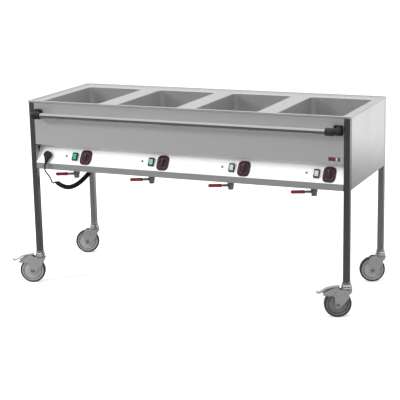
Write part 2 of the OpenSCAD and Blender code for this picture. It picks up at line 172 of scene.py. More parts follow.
def bump(nt, bsdf, height, strength, distance):
    b = nt.nodes.new("ShaderNodeBump")
    b.inputs["Strength"].default_value = strength
    b.inputs["Distance"].default_value = distance
    nt.links.new(height, b.inputs["Height"])
    nt.links.new(b.outputs["Normal"], bsdf.inputs["Normal"])
    return b


def brushed(name, base, rough, along="x", streak=0.06, bump_s=0.12, metallic=1.0, smudge=0.05, tint=(1, 1, 1)):
    """Grained stainless sheet: fine streaks along one axis, cloudy handling marks, a few scratches."""
    m, nt, b = new_mat(name)
    st = {"x": (1.2, 160, 160), "y": (160, 1.2, 160), "z": (160, 160, 1.2)}[along]
    fine = noise(nt, coords(nt, st), 3.2, 4, 0.62)
    st2 = {"x": (3, 900, 900), "y": (900, 3, 900), "z": (900, 900, 3)}[along]
    hair = noise(nt, coords(nt, st2), 1.0, 2, 0.5)
    cloud = noise(nt, coords(nt, (1, 1, 1)), 3.1, 3, 0.55, 0.4)
    scr = noise(nt, coords(nt, tuple(v * 0.35 for v in st), (0.02, 0.03, 0.015)), 6.5, 2, 0.5)
    scratch = ramp(nt, scr, 0.70, 0.76, (0, 0, 0), (1, 1, 1))
    c0 = tuple(base * (1 - streak) * t for t in tint)
    c1 = tuple(min(1, base * (1 + streak)) * t for t in tint)
    col = ramp(nt, fine, 0.3, 0.7, c0, c1)
    nt.links.new(mix_color(nt, maprange(nt, cloud, 0.0, 0.14, 0.35, 0.75), col, tuple(base * 0.8 * t for t in tint)), b.inputs["Base Color"])
    r1 = maprange(nt, fine, rough - 0.05, rough + 0.05, 0.3, 0.7)
    r2 = math_node(nt, "ADD", r1, maprange(nt, cloud, -smudge, smudge, 0.3, 0.7))
    r3 = math_node(nt, "SUBTRACT", r2, math_node(nt, "MULTIPLY", scratch, 0.08))
    nt.links.new(r3, b.inputs["Roughness"])
    b.inputs["Metallic"].default_value = metallic
    h = math_node(nt, "ADD", math_node(nt, "MULTIPLY", fine, 0.6), math_node(nt, "MULTIPLY", hair, 0.4))
    bump(nt, b, h, bump_s, 0.0004)
    return m


def polished(name, base, rough=0.08, wave=0.35, tint=(1, 1, 1), along="x"):
    """Bright sheet or tube: fine polishing lines, slow waviness, faint fingerprints."""
    m, nt, b = new_mat(name)
    st = {"x": (1.5, 220, 220), "y": (220, 1.5, 220), "z": (220, 220, 1.5)}[along]
    fine = noise(nt, coords(nt, st), 3.0, 3, 0.6)
    prints = noise(nt, coords(nt), 16.0, 4, 0.6, 0.3)
    slow = noise(nt, coords(nt), 5.0, 1, 0.4)
    nt.links.new(ramp(nt, fine, 0.25, 0.75, tuple(base * 0.975 * t for t in tint), tuple(min(1, base * 1.02) * t for t in tint)), b.inputs["Base Color"])
    r = math_node(nt, "ADD", maprange(nt, fine, rough * 0.75, rough * 1.25, 0.3, 0.7), maprange(nt, prints, 0.0, 0.07, 0.55, 0.75))
    nt.links.new(r, b.inputs["Roughness"])
    b.inputs["Metallic"].default_value = 1.0
    h = math_node(nt, "ADD", math_node(nt, "MULTIPLY", slow, wave), math_node(nt, "MULTIPLY", fine, 0.02))
    bump(nt, b, h, 0.12, 0.002)
    return m


def plastic(name, color, rough=0.45, grain=420.0, bump_s=0.25, coat=0.0, vary=0.15, ior=1.46):
    """Moulded plastic: fine spark grain, cloudy colour and sheen, lighter rubbed patches."""
    m, nt, b = new_mat(name)
    v = coords(nt)
    g = noise(nt, v, grain, 2, 0.5)
    c = noise(nt, v, 14.0, 3, 0.6, 0.2)
    d = tuple(x * (1 - vary) for x in color)
    l = tuple(min(1, x * (1 + vary) + 0.004) for x in color)
    nt.links.new(ramp(nt, c, 0.3, 0.7, d, l), b.inputs["Base Color"])
    nt.links.new(math_node(nt, "ADD", maprange(nt, c, rough - 0.06, rough + 0.06, 0.3, 0.7), maprange(nt, g, -0.03, 0.03, 0.3, 0.7)), b.inputs["Roughness"])
    b.inputs["Coat Weight"].default_value = coat
    b.inputs["Coat Roughness"].default_value = 0.12
    b.inputs["IOR"].default_value = ior
    bump(nt, b, g, bump_s, 0.0002)
    return m


def plated(name, base, rough=0.25, mottled=0.06, tint=(1, 1, 1), cast=90.0, bump_s=0.1, metallic=1.0):
    """Zinc or nickel plating: fine crystalline mottling and slightly uneven gloss."""
    m, nt, b = new_mat(name)
    v = coords(nt)
    a = noise(nt, v, 60.0, 4, 0.6, 0.5)
    c = noise(nt, v, cast * 5, 2, 0.5)
    stain = noise(nt, v, 9.0, 3, 0.6)
    col = ramp(nt, a, 0.3, 0.7, tuple(base * (1 - mottled) * t for t in tint), tuple(min(1, base * (1 + mottled)) * t for t in tint))
    nt.links.new(mix_color(nt, maprange(nt, stain, 0, 0.25, 0.55, 0.8), col, tuple(base * 0.7 * t for t in tint)), b.inputs["Base Color"])
    nt.links.new(math_node(nt, "ADD", maprange(nt, a, rough - 0.05, rough + 0.06, 0.3, 0.7), maprange(nt, c, -0.03, 0.03, 0.3, 0.7)), b.inputs["Roughness"])
    b.inputs["Metallic"].default_value = metallic
    bump(nt, b, math_node(nt, "ADD", a, math_node(nt, "MULTIPLY", c, 0.4)), bump_s, 0.0003)
    return m


# ------------------------------------------------------------------ mesh helpers (all take mm, in the body or a local frame)
def make(name, verts, faces, mat, slot, body, frm=BODY, replaces=(), smooth=True, bevel=0.0, segs=3, angle=35, weld=False, solidify=0.0, subsurf=0):
    me = bpy.data.meshes.new(name)
    m = TO_ROW @ frm
    me.from_pydata([m @ Vector(v) for v in verts], [], faces)
    me.update()
    bm = bmesh.new()
    bm.from_mesh(me)
    if weld:
        bmesh.ops.remove_doubles(bm, verts=bm.verts, dist=1e-6)
    bmesh.ops.recalc_face_normals(bm, faces=bm.faces)
    bm.to_mesh(me)
    bm.free()
    return finish_obj(name, me, mat, body, replaces, smooth, bevel, segs, angle, solidify, subsurf)


def finish_obj(name, me, mat, body, replaces=(), smooth=True, bevel=0.0, segs=3, angle=35, solidify=0.0, subsurf=0):
    if smooth:
        for p in me.polygons:
            p.use_smooth = True
    ob = bpy.data.objects.new(name, me)
    scene.collection.objects.link(ob)
    me.materials.append(mat)
    if solidify:
        s = ob.modifiers.new("skin", "SOLIDIFY")
        s.thickness = abs(solidify) / 1000
        s.offset = -1 if solidify > 0 else 1
        s.use_even_offset = True
    if bevel:
        b = ob.modifiers.new("edges", "BEVEL")
        b.width = bevel / 1000
        b.segments = segs
        b.limit_method = "ANGLE"
        b.angle_limit = math.radians(angle)
        b.harden_normals = True
        b.use_clamp_overlap = True
    elif smooth:
        set_sharp(me, angle)
        if not subsurf:
            w = ob.modifiers.new("normals", "WEIGHTED_NORMAL")
            w.keep_sharp = True
            w.mode = "FACE_AREA_WITH_ANGLE"
    if subsurf:
        s = ob.modifiers.new("smooth", "SUBSURF")
        s.levels = s.render_levels = subsurf
    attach(ob, body)
    if replaces:
        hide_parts(*replaces)
    return ob


def set_sharp(me, angle):
    bm = bmesh.new()
    bm.from_mesh(me)
    lim = math.radians(angle)
    for e in bm.edges:
        if len(e.link_faces) == 2 and e.calc_face_angle(0) > lim:
            e.smooth = False
    bm.to_mesh(me)
    bm.free()


class Mesh:
    """Collects verts and faces of several simple forms into one piece."""

    def __init__(self):
        self.v, self.f = [], []

    def add(self, verts, faces, m=None):
        n = len(self.v)
        self.v += [tuple(m @ Vector(v)) if m is not None else tuple(v) for v in verts]
        self.f += [tuple(i + n for i in f) for f in faces]
        return self

    def prism(self, pts, h0, h1, m=None, plane="xy"):
        n = len(pts)
        mp = {"xy": lambda a, b, h: (a, b, h), "xz": lambda a, b, h: (a, h, b), "yz": lambda a, b, h: (h, a, b)}[plane]
        verts = [mp(a, b, h0) for a, b in pts] + [mp(a, b, h1) for a, b in pts]
        faces = [tuple(range(n))[::-1], tuple(range(n, 2 * n))] + [(i, (i + 1) % n, n + (i + 1) % n, n + i) for i in range(n)]
        return self.add(verts, faces, m)

    def box(self, x0, x1, y0, y1, z0, z1, m=None):
        return self.prism([(x0, y0), (x1, y0), (x1, y1), (x0, y1)], z0, z1, m)

    def lathe(self, prof, m=None, segs=48, axis="z", closed=False):
        """prof is [(radius, height)]; open ends on the axis are closed with a point."""
        rings, verts, faces = [], [], []
        for r, h in prof:
            if r < 1e-6:
                rings.append([len(verts)])
                verts.append((0, 0, h))
            else:
                rings.append(list(range(len(verts), len(verts) + segs)))
                verts += [(r * math.cos(2 * math.pi * k / segs), r * math.sin(2 * math.pi * k / segs), h) for k in range(segs)]
        pairs = list(zip(rings, rings[1:])) + ([(rings[-1], rings[0])] if closed else [])
        for a, b in pairs:
            if len(a) == 1 and len(b) == 1:
                continue
            for k in range(segs):
                q = (k + 1) % segs
                if len(a) == 1:
                    faces.append((a[0], b[k], b[q]))
                elif len(b) == 1:
                    faces.append((a[q], a[k], b[0]))
                else:
                    faces.append((a[k], a[q], b[q], b[k]))
        mp = {"z": lambda v: v, "x": lambda v: (v[2], v[0], v[1]), "y": lambda v: (v[1], v[2], v[0])}[axis]
        return self.add([mp(v) for v in verts], faces, m)

    def sweep(self, pts, radii, segs=24, caps=True, m=None):
        pts = [Vector(p) for p in pts]
        if isinstance(radii, (int, float)):
            radii = [radii] * len(pts)
        verts, faces, a = [], [], None
        for i, p in enumerate(pts):
            d = (pts[min(i + 1, len(pts) - 1)] - pts[max(i - 1, 0)]).normalized()
            if a is None:
                a = d.orthogonal().normalized()
            a = (a - d * a.dot(d)).normalized()
            b = d.cross(a)
            verts += [tuple(p + radii[i] * (math.cos(2 * math.pi * k / segs) * a + math.sin(2 * math.pi * k / segs) * b)) for k in range(segs)]
        for i in range(len(pts) - 1):
            for k in range(segs):
                q = (k + 1) % segs
                faces.append((i * segs + k, i * segs + q, (i + 1) * segs + q, (i + 1) * segs + k))
        if caps:
            faces += [tuple(range(segs))[::-1], tuple(range((len(pts) - 1) * segs, len(pts) * segs))]
        return self.add(verts, faces, m)

    def loops(self, rings, closed=False, cap0=False, cap1=False, m=None):
        n = len(rings[0])
        verts = [v for r in rings for v in r]
        faces = []
        for i in range(len(rings) - (0 if closed else 1)):
            j = (i + 1) % len(rings)
            for k in range(n):
                q = (k + 1) % n
                faces.append((i * n + k, i * n + q, j * n + q, j * n + k))
        if cap0:
            faces.append(tuple(range(n))[::-1])
        if cap1:
            faces.append(tuple(range((len(rings) - 1) * n, len(rings) * n)))
        return self.add(verts, faces, m)

    def obj(self, name, mat, slot, body, **kw):
        return make(name, self.v, self.f, mat, slot, body, **kw)


def rrect(cx, cy, w, d, r, z=None, n=8):
    pts = []
    for sx, sy, a0 in ((1, 1, 0), (-1, 1, 90), (-1, -1, 180), (1, -1, 270)):
        for k in range(n + 1):
            a = math.radians(a0 + 90 * k / n)
            p = (cx + sx * (w / 2 - r) + r * math.cos(a), cy + sy * (d / 2 - r) + r * math.sin(a))
            pts.append(p if z is None else (*p, z))
    return pts


def circle(cx, cy, r, n=32, z=None):
    return [((cx + r * math.cos(2 * math.pi * k / n), cy + r * math.sin(2 * math.pi * k / n)) + (() if z is None else (z,))) for k in range(n)]


def arc(cx, cy, r, a0, a1, n=8):
    return [(cx + r * math.cos(math.radians(a0 + (a1 - a0) * k / n)), cy + r * math.sin(math.radians(a0 + (a1 - a0) * k / n))) for k in range(n + 1)]


def plate_with_holes(outer, holes, z):
    """Flat triangulated region bounded by outer with holes, as verts and faces in mm."""
    cu = bpy.data.curves.new("tmp", "CURVE")
    cu.dimensions = "2D"
    cu.fill_mode = "BOTH"
    for loop in [outer] + holes:
        sp = cu.splines.new("POLY")
        sp.points.add(len(loop) - 1)
        for p, q in zip(sp.points, loop):
            p.co = (q[0] / 1000, q[1] / 1000, 0, 1)
        sp.use_cyclic_u = True
    ob = bpy.data.objects.new("tmp", cu)
    scene.collection.objects.link(ob)
    bpy.context.view_layer.update()
    me = bpy.data.meshes.new_from_object(ob.evaluated_get(bpy.context.evaluated_depsgraph_get()))
    verts = [(v.co.x * 1000, v.co.y * 1000, z) for v in me.vertices]
    faces = [tuple(p.vertices) for p in me.polygons]
    bpy.data.objects.remove(ob)
    bpy.data.curves.remove(cu)
    bpy.data.meshes.remove(me)
    return verts, faces


def cad_look(node, mat, bevel=0.0, segs=2):
    """A CAD node that stays: better material, and softened edges."""
    ob = NODES[node]
    ob.data.materials.clear()
    ob.data.materials.append(mat)
    if bevel:
        w = ob.modifiers.new("weld", "WELD")
        w.merge_threshold = 0.00002
        b = ob.modifiers.new("edges", "BEVEL")
        b.width = bevel / 1000
        b.segments = segs
        b.limit_method = "ANGLE"
        b.angle_limit = math.radians(40)
        b.use_clamp_overlap = True
    return ob


# ------------------------------------------------------------------ materials
M_DECK = brushed("m_deck_steel", 0.62, 0.30, "x", 0.05, 0.10)
M_APRON = brushed("m_apron_steel", 0.54, 0.36, "x", 0.04, 0.12, metallic=0.62)
M_SIDE = brushed("m_side_steel", 0.74, 0.25, "z", 0.04, 0.10, smudge=0.03)
M_REAR = brushed("m_rear_steel", 0.58, 0.33, "x", 0.05, 0.12)
M_LIP = brushed("m_lip_steel", 0.52, 0.34, "x", 0.04, 0.10)
M_TRAY = brushed("m_tray_steel", 0.45, 0.38, "x", 0.06, 0.12)
M_WELL = brushed("m_well_steel", 0.60, 0.36, "z", 0.07, 0.14, smudge=0.06)
# front and rear legs are one steel in two copies: the front copy has a darker base as painted shade, the rear copy a
# lighter base as painted light
M_LEG_PAINTED_SHADE = brushed("m_leg_painted_shade_steel", 0.35, 0.30, "z", 0.06, 0.12)
M_LEG_REAR_PAINTED_LIGHT = brushed("m_leg_rear_painted_light_steel", 0.68, 0.30, "z", 0.06, 0.12)
M_PANEL = polished("m_panel_mirror", 0.96, 0.10, 0.10)


def soften(mat, metallic, rough=None):
    """Thin protective film left on the sheet: part of the light scatters instead of mirroring."""
    b = next(n for n in mat.node_tree.nodes if n.type == "BSDF_PRINCIPLED")
    b.inputs["Metallic"].default_value = metallic
    if rough is not None:
        for ln in list(b.inputs["Roughness"].links):
            old = ln.from_socket
            mat.node_tree.links.new(math_node(mat.node_tree, "ADD", old, rough), b.inputs["Roughness"])


def satin_and_shade_below(mat, z, base, rough):
    """Below height z the sheet keeps its satin grain but takes a much darker base colour: painted shade on the
    vertical lip under the bright sloped face above.
    """
    nt = mat.node_tree
    b = next(n for n in nt.nodes if n.type == "BSDF_PRINCIPLED")
    tc = nt.nodes.new("ShaderNodeTexCoord")
    sep = nt.nodes.new("ShaderNodeSeparateXYZ")
    nt.links.new(tc.outputs["Object"], sep.inputs["Vector"])
    f = maprange(nt, sep.outputs["Z"], 1.0, 0.0, z - 0.0006, z + 0.0006)
    g = noise(nt, coords(nt, (1.2, 160, 160)), 3.2, 4, 0.62)
    old = b.inputs["Base Color"].links[0].from_socket
    nt.links.new(mix_color(nt, f, old, ramp(nt, g, 0.3, 0.7, (base * 0.94,) * 3, (base * 1.06,) * 3)), b.inputs["Base Color"])
    old = b.inputs["Roughness"].links[0].from_socket
    m = nt.nodes.new("ShaderNodeMix")
    nt.links.new(f, m.inputs[0])
    nt.links.new(old, m.inputs[2])
    m.inputs[3].default_value = rough
    nt.links.new(m.outputs[0], b.inputs["Roughness"])


soften(M_PANEL, 0.45, 0.22)
# the lip below the panel fold gets a darker base colour as painted shade on its vertical face
satin_and_shade_below(M_PANEL, 0.608, 0.28, 0.36)
soften(M_DECK, 0.75)
soften(M_WELL, 0.80)
M_RAIL = polished("m_rail_tube", 0.58, 0.10, 0.05)
M_CHROME = plated("m_bright_zinc", 0.72, 0.16, 0.04, (0.97, 0.98, 1.0), bump_s=0.05)
M_FORK = plated("m_zinc_fork", 0.60, 0.42, 0.06, (0.98, 0.99, 1.0), metallic=0.75)
M_NICKEL = plated("m_nickel", 0.60, 0.24, 0.10, (1.0, 0.97, 0.90), cast=60, bump_s=0.25)
M_LEVER = plated("m_zinc_lever", 0.58, 0.30, 0.08, (1.0, 0.98, 0.95), bump_s=0.12)
M_BLACK = plastic("m_black_plastic", (0.012, 0.012, 0.013), 0.46, 500, 0.25)
M_CABLE = plastic("m_cable_rubber", (0.005, 0.005, 0.0055), 0.50, 700, 0.20, vary=0.2)
M_PLUG = plastic("m_plug_rubber", (0.010, 0.010, 0.011), 0.46, 600, 0.25, vary=0.2)
M_BEZEL = plastic("m_bezel_maroon", (0.024, 0.007, 0.010), 0.36, 500, 0.12)
M_RING = plastic("m_dial_ring", (0.15, 0.028, 0.042), 0.38, 500, 0.10)
M_KNOB = plastic("m_knob", (0.024, 0.011, 0.012), 0.45, 500, 0.2)
M_KNOBTOP = plastic("m_knob_grip", (0.032, 0.022, 0.022), 0.45, 500, 0.2)
M_MARK = plastic("m_dial_mark", (0.40, 0.34, 0.35), 0.45, 500, 0.1)
M_GRIP = plastic("m_red_vinyl", (0.22, 0.008, 0.014), 0.44, 380, 0.2)
M_TYRE = plastic("m_tyre_rubber", (0.030, 0.030, 0.031), 0.62, 300, 0.35, vary=0.25)
M_WHEEL = plastic("m_wheel_nylon", (0.29, 0.295, 0.30), 0.46, 260, 0.22, vary=0.10)
# darker copy of the wheel nylon, used on the front-right wheel as painted shade
M_WHEEL_PAINTED_SHADE = plastic("m_wheel_nylon_painted_shade", (0.12, 0.122, 0.125), 0.46, 260, 0.22, vary=0.12)
M_GROOVE = plastic("m_wheel_groove", (0.05, 0.05, 0.052), 0.6, 300, 0.2)
M_GREYBOX = plastic("m_grey_box", (0.42, 0.43, 0.44), 0.5, 300, 0.2)
M_CASE = plated("m_thermostat_case", 0.35, 0.45, 0.06)
M_ELEMENT = plated("m_element", 0.20, 0.45, 0.25, (1.0, 0.95, 0.85))
M_BADGE = plastic("m_badge_enamel", (0.095, 0.012, 0.022), 0.34, 500, 0.05)
M_BADGE_EDGE = plastic("m_badge_edge", (0.06, 0.055, 0.057), 0.4, 500, 0.1)
M_BADGE_PALE = plastic("m_badge_pale", (0.42, 0.36, 0.37), 0.34, 500, 0.05)


def lens(name, color, emit=0.0, rough=0.18):
    m, nt, b = new_mat(name)
    v = coords(nt)
    c = noise(nt, v, 260.0, 2, 0.5)
    nt.links.new(ramp(nt, c, 0.3, 0.7, tuple(x * 0.85 for x in color), color), b.inputs["Base Color"])
    nt.links.new(maprange(nt, c, rough - 0.04, rough + 0.05, 0.3, 0.7), b.inputs["Roughness"])
    b.inputs["Coat Weight"].default_value = 0.6
    b.inputs["Coat Roughness"].default_value = 0.05
    b.inputs["Subsurface Weight"].default_value = 0.15
    b.inputs["Subsurface Radius"].default_value = (0.004, 0.003, 0.002)
    b.inputs["Subsurface Scale"].default_value = 0.5
    if emit:
        b.inputs["Emission Color"].default_value = (*color, 1)
        b.inputs["Emission Strength"].default_value = emit
    bump(nt, b, c, 0.1, 0.0002)
    return m


M_LAMPS = [lens("m_lamp_1", (0.20, 0.040, 0.018), 0.0), lens("m_lamp_2", (0.17, 0.042, 0.022), 0.0),
           lens("m_lamp_3", (0.26, 0.20, 0.21), 0.0), lens("m_lamp_4", (0.22, 0.22, 0.215), 0.0)]
M_ROCKERS = [lens("m_rocker_1", (0.02, 0.36, 0.25), 0.15), lens("m_rocker_2", (0.20, 0.48, 0.42), 0.1),
             lens("m_rocker_3", (0.50, 0.62, 0.60), 0.0), lens("m_rocker_4", (0.52, 0.60, 0.58), 0.0)]


def fillet_path(P, radius, n=5):
    out = [P[0]]
    for i in range(1, len(P) - 1):
        a, b, c = P[i - 1], P[i], P[i + 1]
        u, v = (a - b).normalized(), (c - b).normalized()
        ang = u.angle(v)
        d = min(radius(i) / math.tan(ang / 2), (a - b).length * 0.49, (c - b).length * 0.49)
        r = d * math.tan(ang / 2)
        o = b + (u + v).normalized() * (r / math.sin(ang / 2))
        p0, p1 = b + u * d - o, b + v * d - o
        a0, a1 = math.atan2(p0.y, p0.x), math.atan2(p1.y, p1.x)
        da = (a1 - a0 + math.pi) % (2 * math.pi) - math.pi
        out += [o + Vector((math.cos(a0 + da * k / n), math.sin(a0 + da * k / n))) * r for k in range(n + 1)]
    out.append(P[-1])
    return out


def sheet_poly(path, t=1.5, r=2.4, side=-1, n=5):
    """Closed outline of folded sheet: path is its outer line, the metal lies on side (1 left, -1 right)."""
    P = [Vector(p) for p in path]
    Q, turn = [], {}
    for i, p in enumerate(P):
        ds = ([(p - P[i - 1]).normalized()] if i else []) + ([(P[i + 1] - p).normalized()] if i < len(P) - 1 else [])
        ns = [Vector((-d.y, d.x)) * side for d in ds]
        if len(ns) == 1:
            Q.append(p + ns[0] * t)
        else:
            b = (ns[0] + ns[1]).normalized()
            Q.append(p + b * (t / b.dot(ns[0])))
            turn[i] = (ds[0].x * ds[1].y - ds[0].y * ds[1].x) * side
    big, small = r, max(r - t, 0.3)
    outer = fillet_path(P, lambda i: big if turn[i] > 0 else small, n)
    inner = fillet_path(Q, lambda i: small if turn[i] > 0 else big, n)
    return [tuple(p) for p in outer] + [tuple(p) for p in reversed(inner)]


def catmull(p, m):
    p = [Vector(q) for q in p]
    out = []
    for i in range(len(p) - 1):
        p0, p1, p2, p3 = p[max(i - 1, 0)], p[i], p[i + 1], p[min(i + 2, len(p) - 1)]
        for k in range(m):
            t = k / m
            out.append(0.5 * ((2 * p1) + (p2 - p0) * t + (2 * p0 - 5 * p1 + 4 * p2 - p3) * t * t + (3 * p1 - p0 - 3 * p2 + p3) * t ** 3))
    return out + [p[-1]]


# ================================================================== cord, plug and gland
COIL = [(-548, 126, 556), (-553, 125, 545), (-566, 123, 532), (-582, 120, 515), (-602, 117, 497), (-628, 112, 480),
        (-659, 108, 469), (-688, 105, 472), (-709, 102, 482), (-728, 100, 493)]
LEAD = [(-728, 100, 493), (-734, 98.5, 489), (-739.5, 94, 488), (-742, 86, 494), (-739.5, 74, 509), (-735.5, 56, 526), (-732, 34, 544),
        (-728.5, 12, 560), (-723, -7, 575), (-718, -15.5, 589), (-715, -16.5, 604), (-714, -12.9, 614.6)]
CABLE_R, HELIX_R, PITCH = 3.5, 8.6, 7.8


def curly(line, pitch, radius, per_turn=16):
    """A helix wound round a line, opening out of it and closing back into it over the first and last turns."""
    d = [0.0]
    for a, b in zip(line, line[1:]):
        d.append(d[-1] + (b - a).length)
    total = d[-1]
    steps = int(total / pitch * per_turn)
    up, out, j, a = None, [], 0, None
    for i in range(steps + 1):
        s = total * i / steps
        while j < len(d) - 2 and d[j + 1] < s:
            j += 1
        f = (s - d[j]) / (d[j + 1] - d[j])
        p = line[j].lerp(line[j + 1], f)
        t = (line[min(j + 2, len(line) - 1)] - line[max(j - 1, 0)]).normalized()
        if a is None:
            a = t.orthogonal().normalized()
        a = (a - t * a.dot(t)).normalized()
        b = t.cross(a)
        e = min(s, total - s) / 9.0
        r = radius * (1 if e >= 1 else (3 * e * e - 2 * e ** 3))
        w = 2 * math.pi * s / pitch
        out.append(p + r * (math.cos(w) * a + math.sin(w) * b))
    return out


coil_line = catmull(COIL, 12)
cord_pts = curly(coil_line, PITCH, HELIX_R) + catmull(LEAD, 6)[1:]
cu = bpy.data.curves.new("power_cord", "CURVE")
cu.dimensions = "3D"
sp = cu.splines.new("POLY")
sp.points.add(len(cord_pts) - 1)
for q, p in zip(sp.points, cord_pts):
    q.co = (*row(p), 1)
cu.bevel_depth = CABLE_R / 1000
cu.bevel_resolution = 4
cu.use_fill_caps = True
cord = bpy.data.objects.new("power_cord", cu)
scene.collection.objects.link(cord)
cu.materials.append(M_CABLE)
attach(cord, "cart")
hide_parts("cord_coil", "cord_lead")

PLUG = on_panel(-714, 39)
holder = Mesh()
holder.lathe([(0, 0.1), (17.9, 0.1), (18.7, 0.5), (19, 1.2), (19, 2.8), (18.5, 3.6), (17.4, 4.0), (0, 4.0)], segs=64)
holder.obj("plug_socket", M_BLACK, "black_plastic", "cart", frm=PLUG, replaces=("plug_holder",))
# dark strap hanging down from the socket behind the lead, put where the lead's shadow falls on the panel and lip:
# painted shadow
shadow_strap_mesh = Mesh()
shadow_strap_path = [(-17, 3.2), (-24, 4.0), (-30, 6.4), (-36, 9.5), (-43, 13.0), (-50, 17.4), (-57, 21.6), (-62, 24.4)]
rings = []
for k, (sy, z) in enumerate(shadow_strap_path):
    w_ = 5.4 - 0.6 * math.sin(math.pi * k / 7) if k < 7 else 3.6
    rings.append([(4 + w_ * math.copysign(abs(math.cos(2 * math.pi * q / 20)) ** 0.6, math.cos(2 * math.pi * q / 20)), sy + 0.5 * math.sin(2 * math.pi * q / 20),
                   z + 1.3 * math.copysign(abs(math.sin(2 * math.pi * q / 20)) ** 0.6, math.sin(2 * math.pi * q / 20))) for q in range(20)])
shadow_strap_mesh.loops(rings, cap0=True, cap1=True)
shadow_strap_mesh.obj("painted_lead_shadow", M_PLUG, "black_plastic", "cart", frm=PLUG)

plug = Mesh()
prof = [(0, 3.8), (18.2, 3.8), (18.5, 4.6)]
for k in range(3):
    h = 6.0 + 3.6 * k
    prof += [(18.5, h), (18.0, h + 0.5), (18.0, h + 1.3), (18.5, h + 1.8)]
prof += [(18.5, 16.6), (18.2, 18.2), (17.3, 20.2), (15.6, 21.6), (12.4, 22.0), (11.8, 21.2), (0, 21.2)]
plug.lathe(prof, segs=64)
rings = []
for t, hw, z0, z1 in [(2, 16.6, 5.4, 21.4), (-6, 15.8, 5.4, 21.8), (-13, 13.6, 5.8, 22.4), (-20, 10.4, 6.6, 22.2), (-26, 8.0, 7.6, 21.4),
                      (-31, 6.6, 8.5, 20.6), (-32, 5.7, 9.2, 19.8), (-33.2, 5.7, 9.2, 19.8), (-34, 6.3, 8.6, 20.4), (-35.4, 5.7, 9.2, 19.8),
                      (-36, 5.0, 9.8, 19.2), (-37.2, 5.0, 9.8, 19.2), (-38, 5.6, 9.2, 19.8), (-39.6, 4.6, 10.2, 18.8), (-40.2, 3.6, 11.0, 18.0)]:
    zc, hz = (z0 + z1) / 2, (z1 - z0) / 2
    ring = []
    for k in range(40):
        a = 2 * math.pi * k / 40
        ca, sa = math.cos(a), math.sin(a)
        ring.append((hw * math.copysign(abs(ca) ** 0.8, ca), t, zc + hz * math.copysign(abs(sa) ** 0.8, sa)))
    rings.append(ring)
plug.loops(rings, cap0=True, cap1=True)
for x in (-9.5, -3.2, 3.2, 9.5):       # finger flutes on the face
    plug.prism([(x - 1.4, -9), (x + 1.4, -9), (x + 1.4, 9 - abs(x) * 0.3), (x - 1.4, 9 - abs(x) * 0.3)], 20.4, 22.2)
plug_ob = plug.obj("power_plug", M_PLUG, "black_plastic", "cart", frm=PLUG, replaces=("plug",), bevel=0.5, segs=2, angle=40)

gland = Mesh()
gm = Matrix.Translation((-546, 128, 0))
gland.prism(circle(0, 0, 14, 6), BASE_Z - 6, BASE_Z, gm)
gland.lathe([(3.7, BASE_Z - 5), (11.5, BASE_Z - 5), (11.5, BASE_Z - 11), (10.8, BASE_Z - 13), (8.6, BASE_Z - 14.4), (3.7, BASE_Z - 14.4)], gm, closed=True)
gland.lathe([(3.7, BASE_Z), (8.8, BASE_Z), (8.8, BASE_Z + 12), (3.7, BASE_Z + 12)], gm, closed=True)
gland.prism(circle(0, 0, 14, 6), BASE_Z + 1.5, BASE_Z + 6.5, gm)
gland.obj("cable_gland_nut", M_BLACK, "black_plastic", "cart", replaces=("cable_gland",), bevel=0.6, segs=2, angle=40)
relief = Mesh()
axis0, axis1 = Vector((-546, 128, BASE_Z - 12)), Vector((-548, 126, 554.5))
prof = []
for k in range(25):
    t = k / 24
    r = 8.2 - 3.9 * t + (0.55 if k % 3 == 1 else 0.0)
    prof.append((axis0.lerp(axis1, t), r))
relief.sweep([p for p, r in prof], [r for p, r in prof], segs=28)
relief_ob = relief.obj("strain_relief", M_PLUG, "black_plastic", "cart")

# ================================================================== deck, wells, frame and panels
CX, CY = 0.0, D / 2


def rr_ring(w, d, r, z, cx=CX, cy=CY, n=8):
    return rrect(cx, cy, w, d, max(r, 0.4), z, n)


deck = Mesh()
rim = [rr_ring(1604, 602, 3, 901), rr_ring(1604, 602, 3, 907.9)]
for k in range(1, 5):
    a = math.radians(90 * k / 4)
    rim.append(rr_ring(1604 - 4.2 * (1 - math.cos(a)), 602 - 4.2 * (1 - math.cos(a)), 3, 907.9 + 2.1 * math.sin(a)))
rim.append(rr_ring(1590, 588, 5, 910))
for k in range(1, 5):
    a = math.radians(90 * k / 4)
    rim.append(rr_ring(1590 - 4 * math.sin(a), 588 - 4 * math.sin(a), 5, 910 - 2 * (1 - math.cos(a))))
for k in range(0, 5):
    a = math.radians(90 * k / 4)
    rim.append(rr_ring(1585.6 - 5 * (1 - math.cos(a)), 583.6 - 5 * (1 - math.cos(a)), 5.5, 906.4 - 2.4 * math.sin(a)))
deck.loops(rim)
inner = [(x, y) for x, y, z in rim[-1]]
holes = []
for cx in WELL_CX:
    fold = []
    for k in range(0, 7):
        a = math.radians(90 * k / 6)
        o = 7.5 * (1 - math.sin(a))
        fold.append(rrect(cx, 287, 305 + 2 * o, 500 + 2 * o, 25 + o, 904 - 7.5 * (1 - math.cos(a)), 10))
    deck.loops(fold)
    holes.append([(x, y) for x, y, z in fold[0]])
deck.add(*plate_with_holes(inner, holes, 904.0))
deck_ob = deck.obj("deck_top", M_DECK, "brushed_stainless", "cart", replaces=("top_deck",), weld=True, solidify=1.4, angle=50)

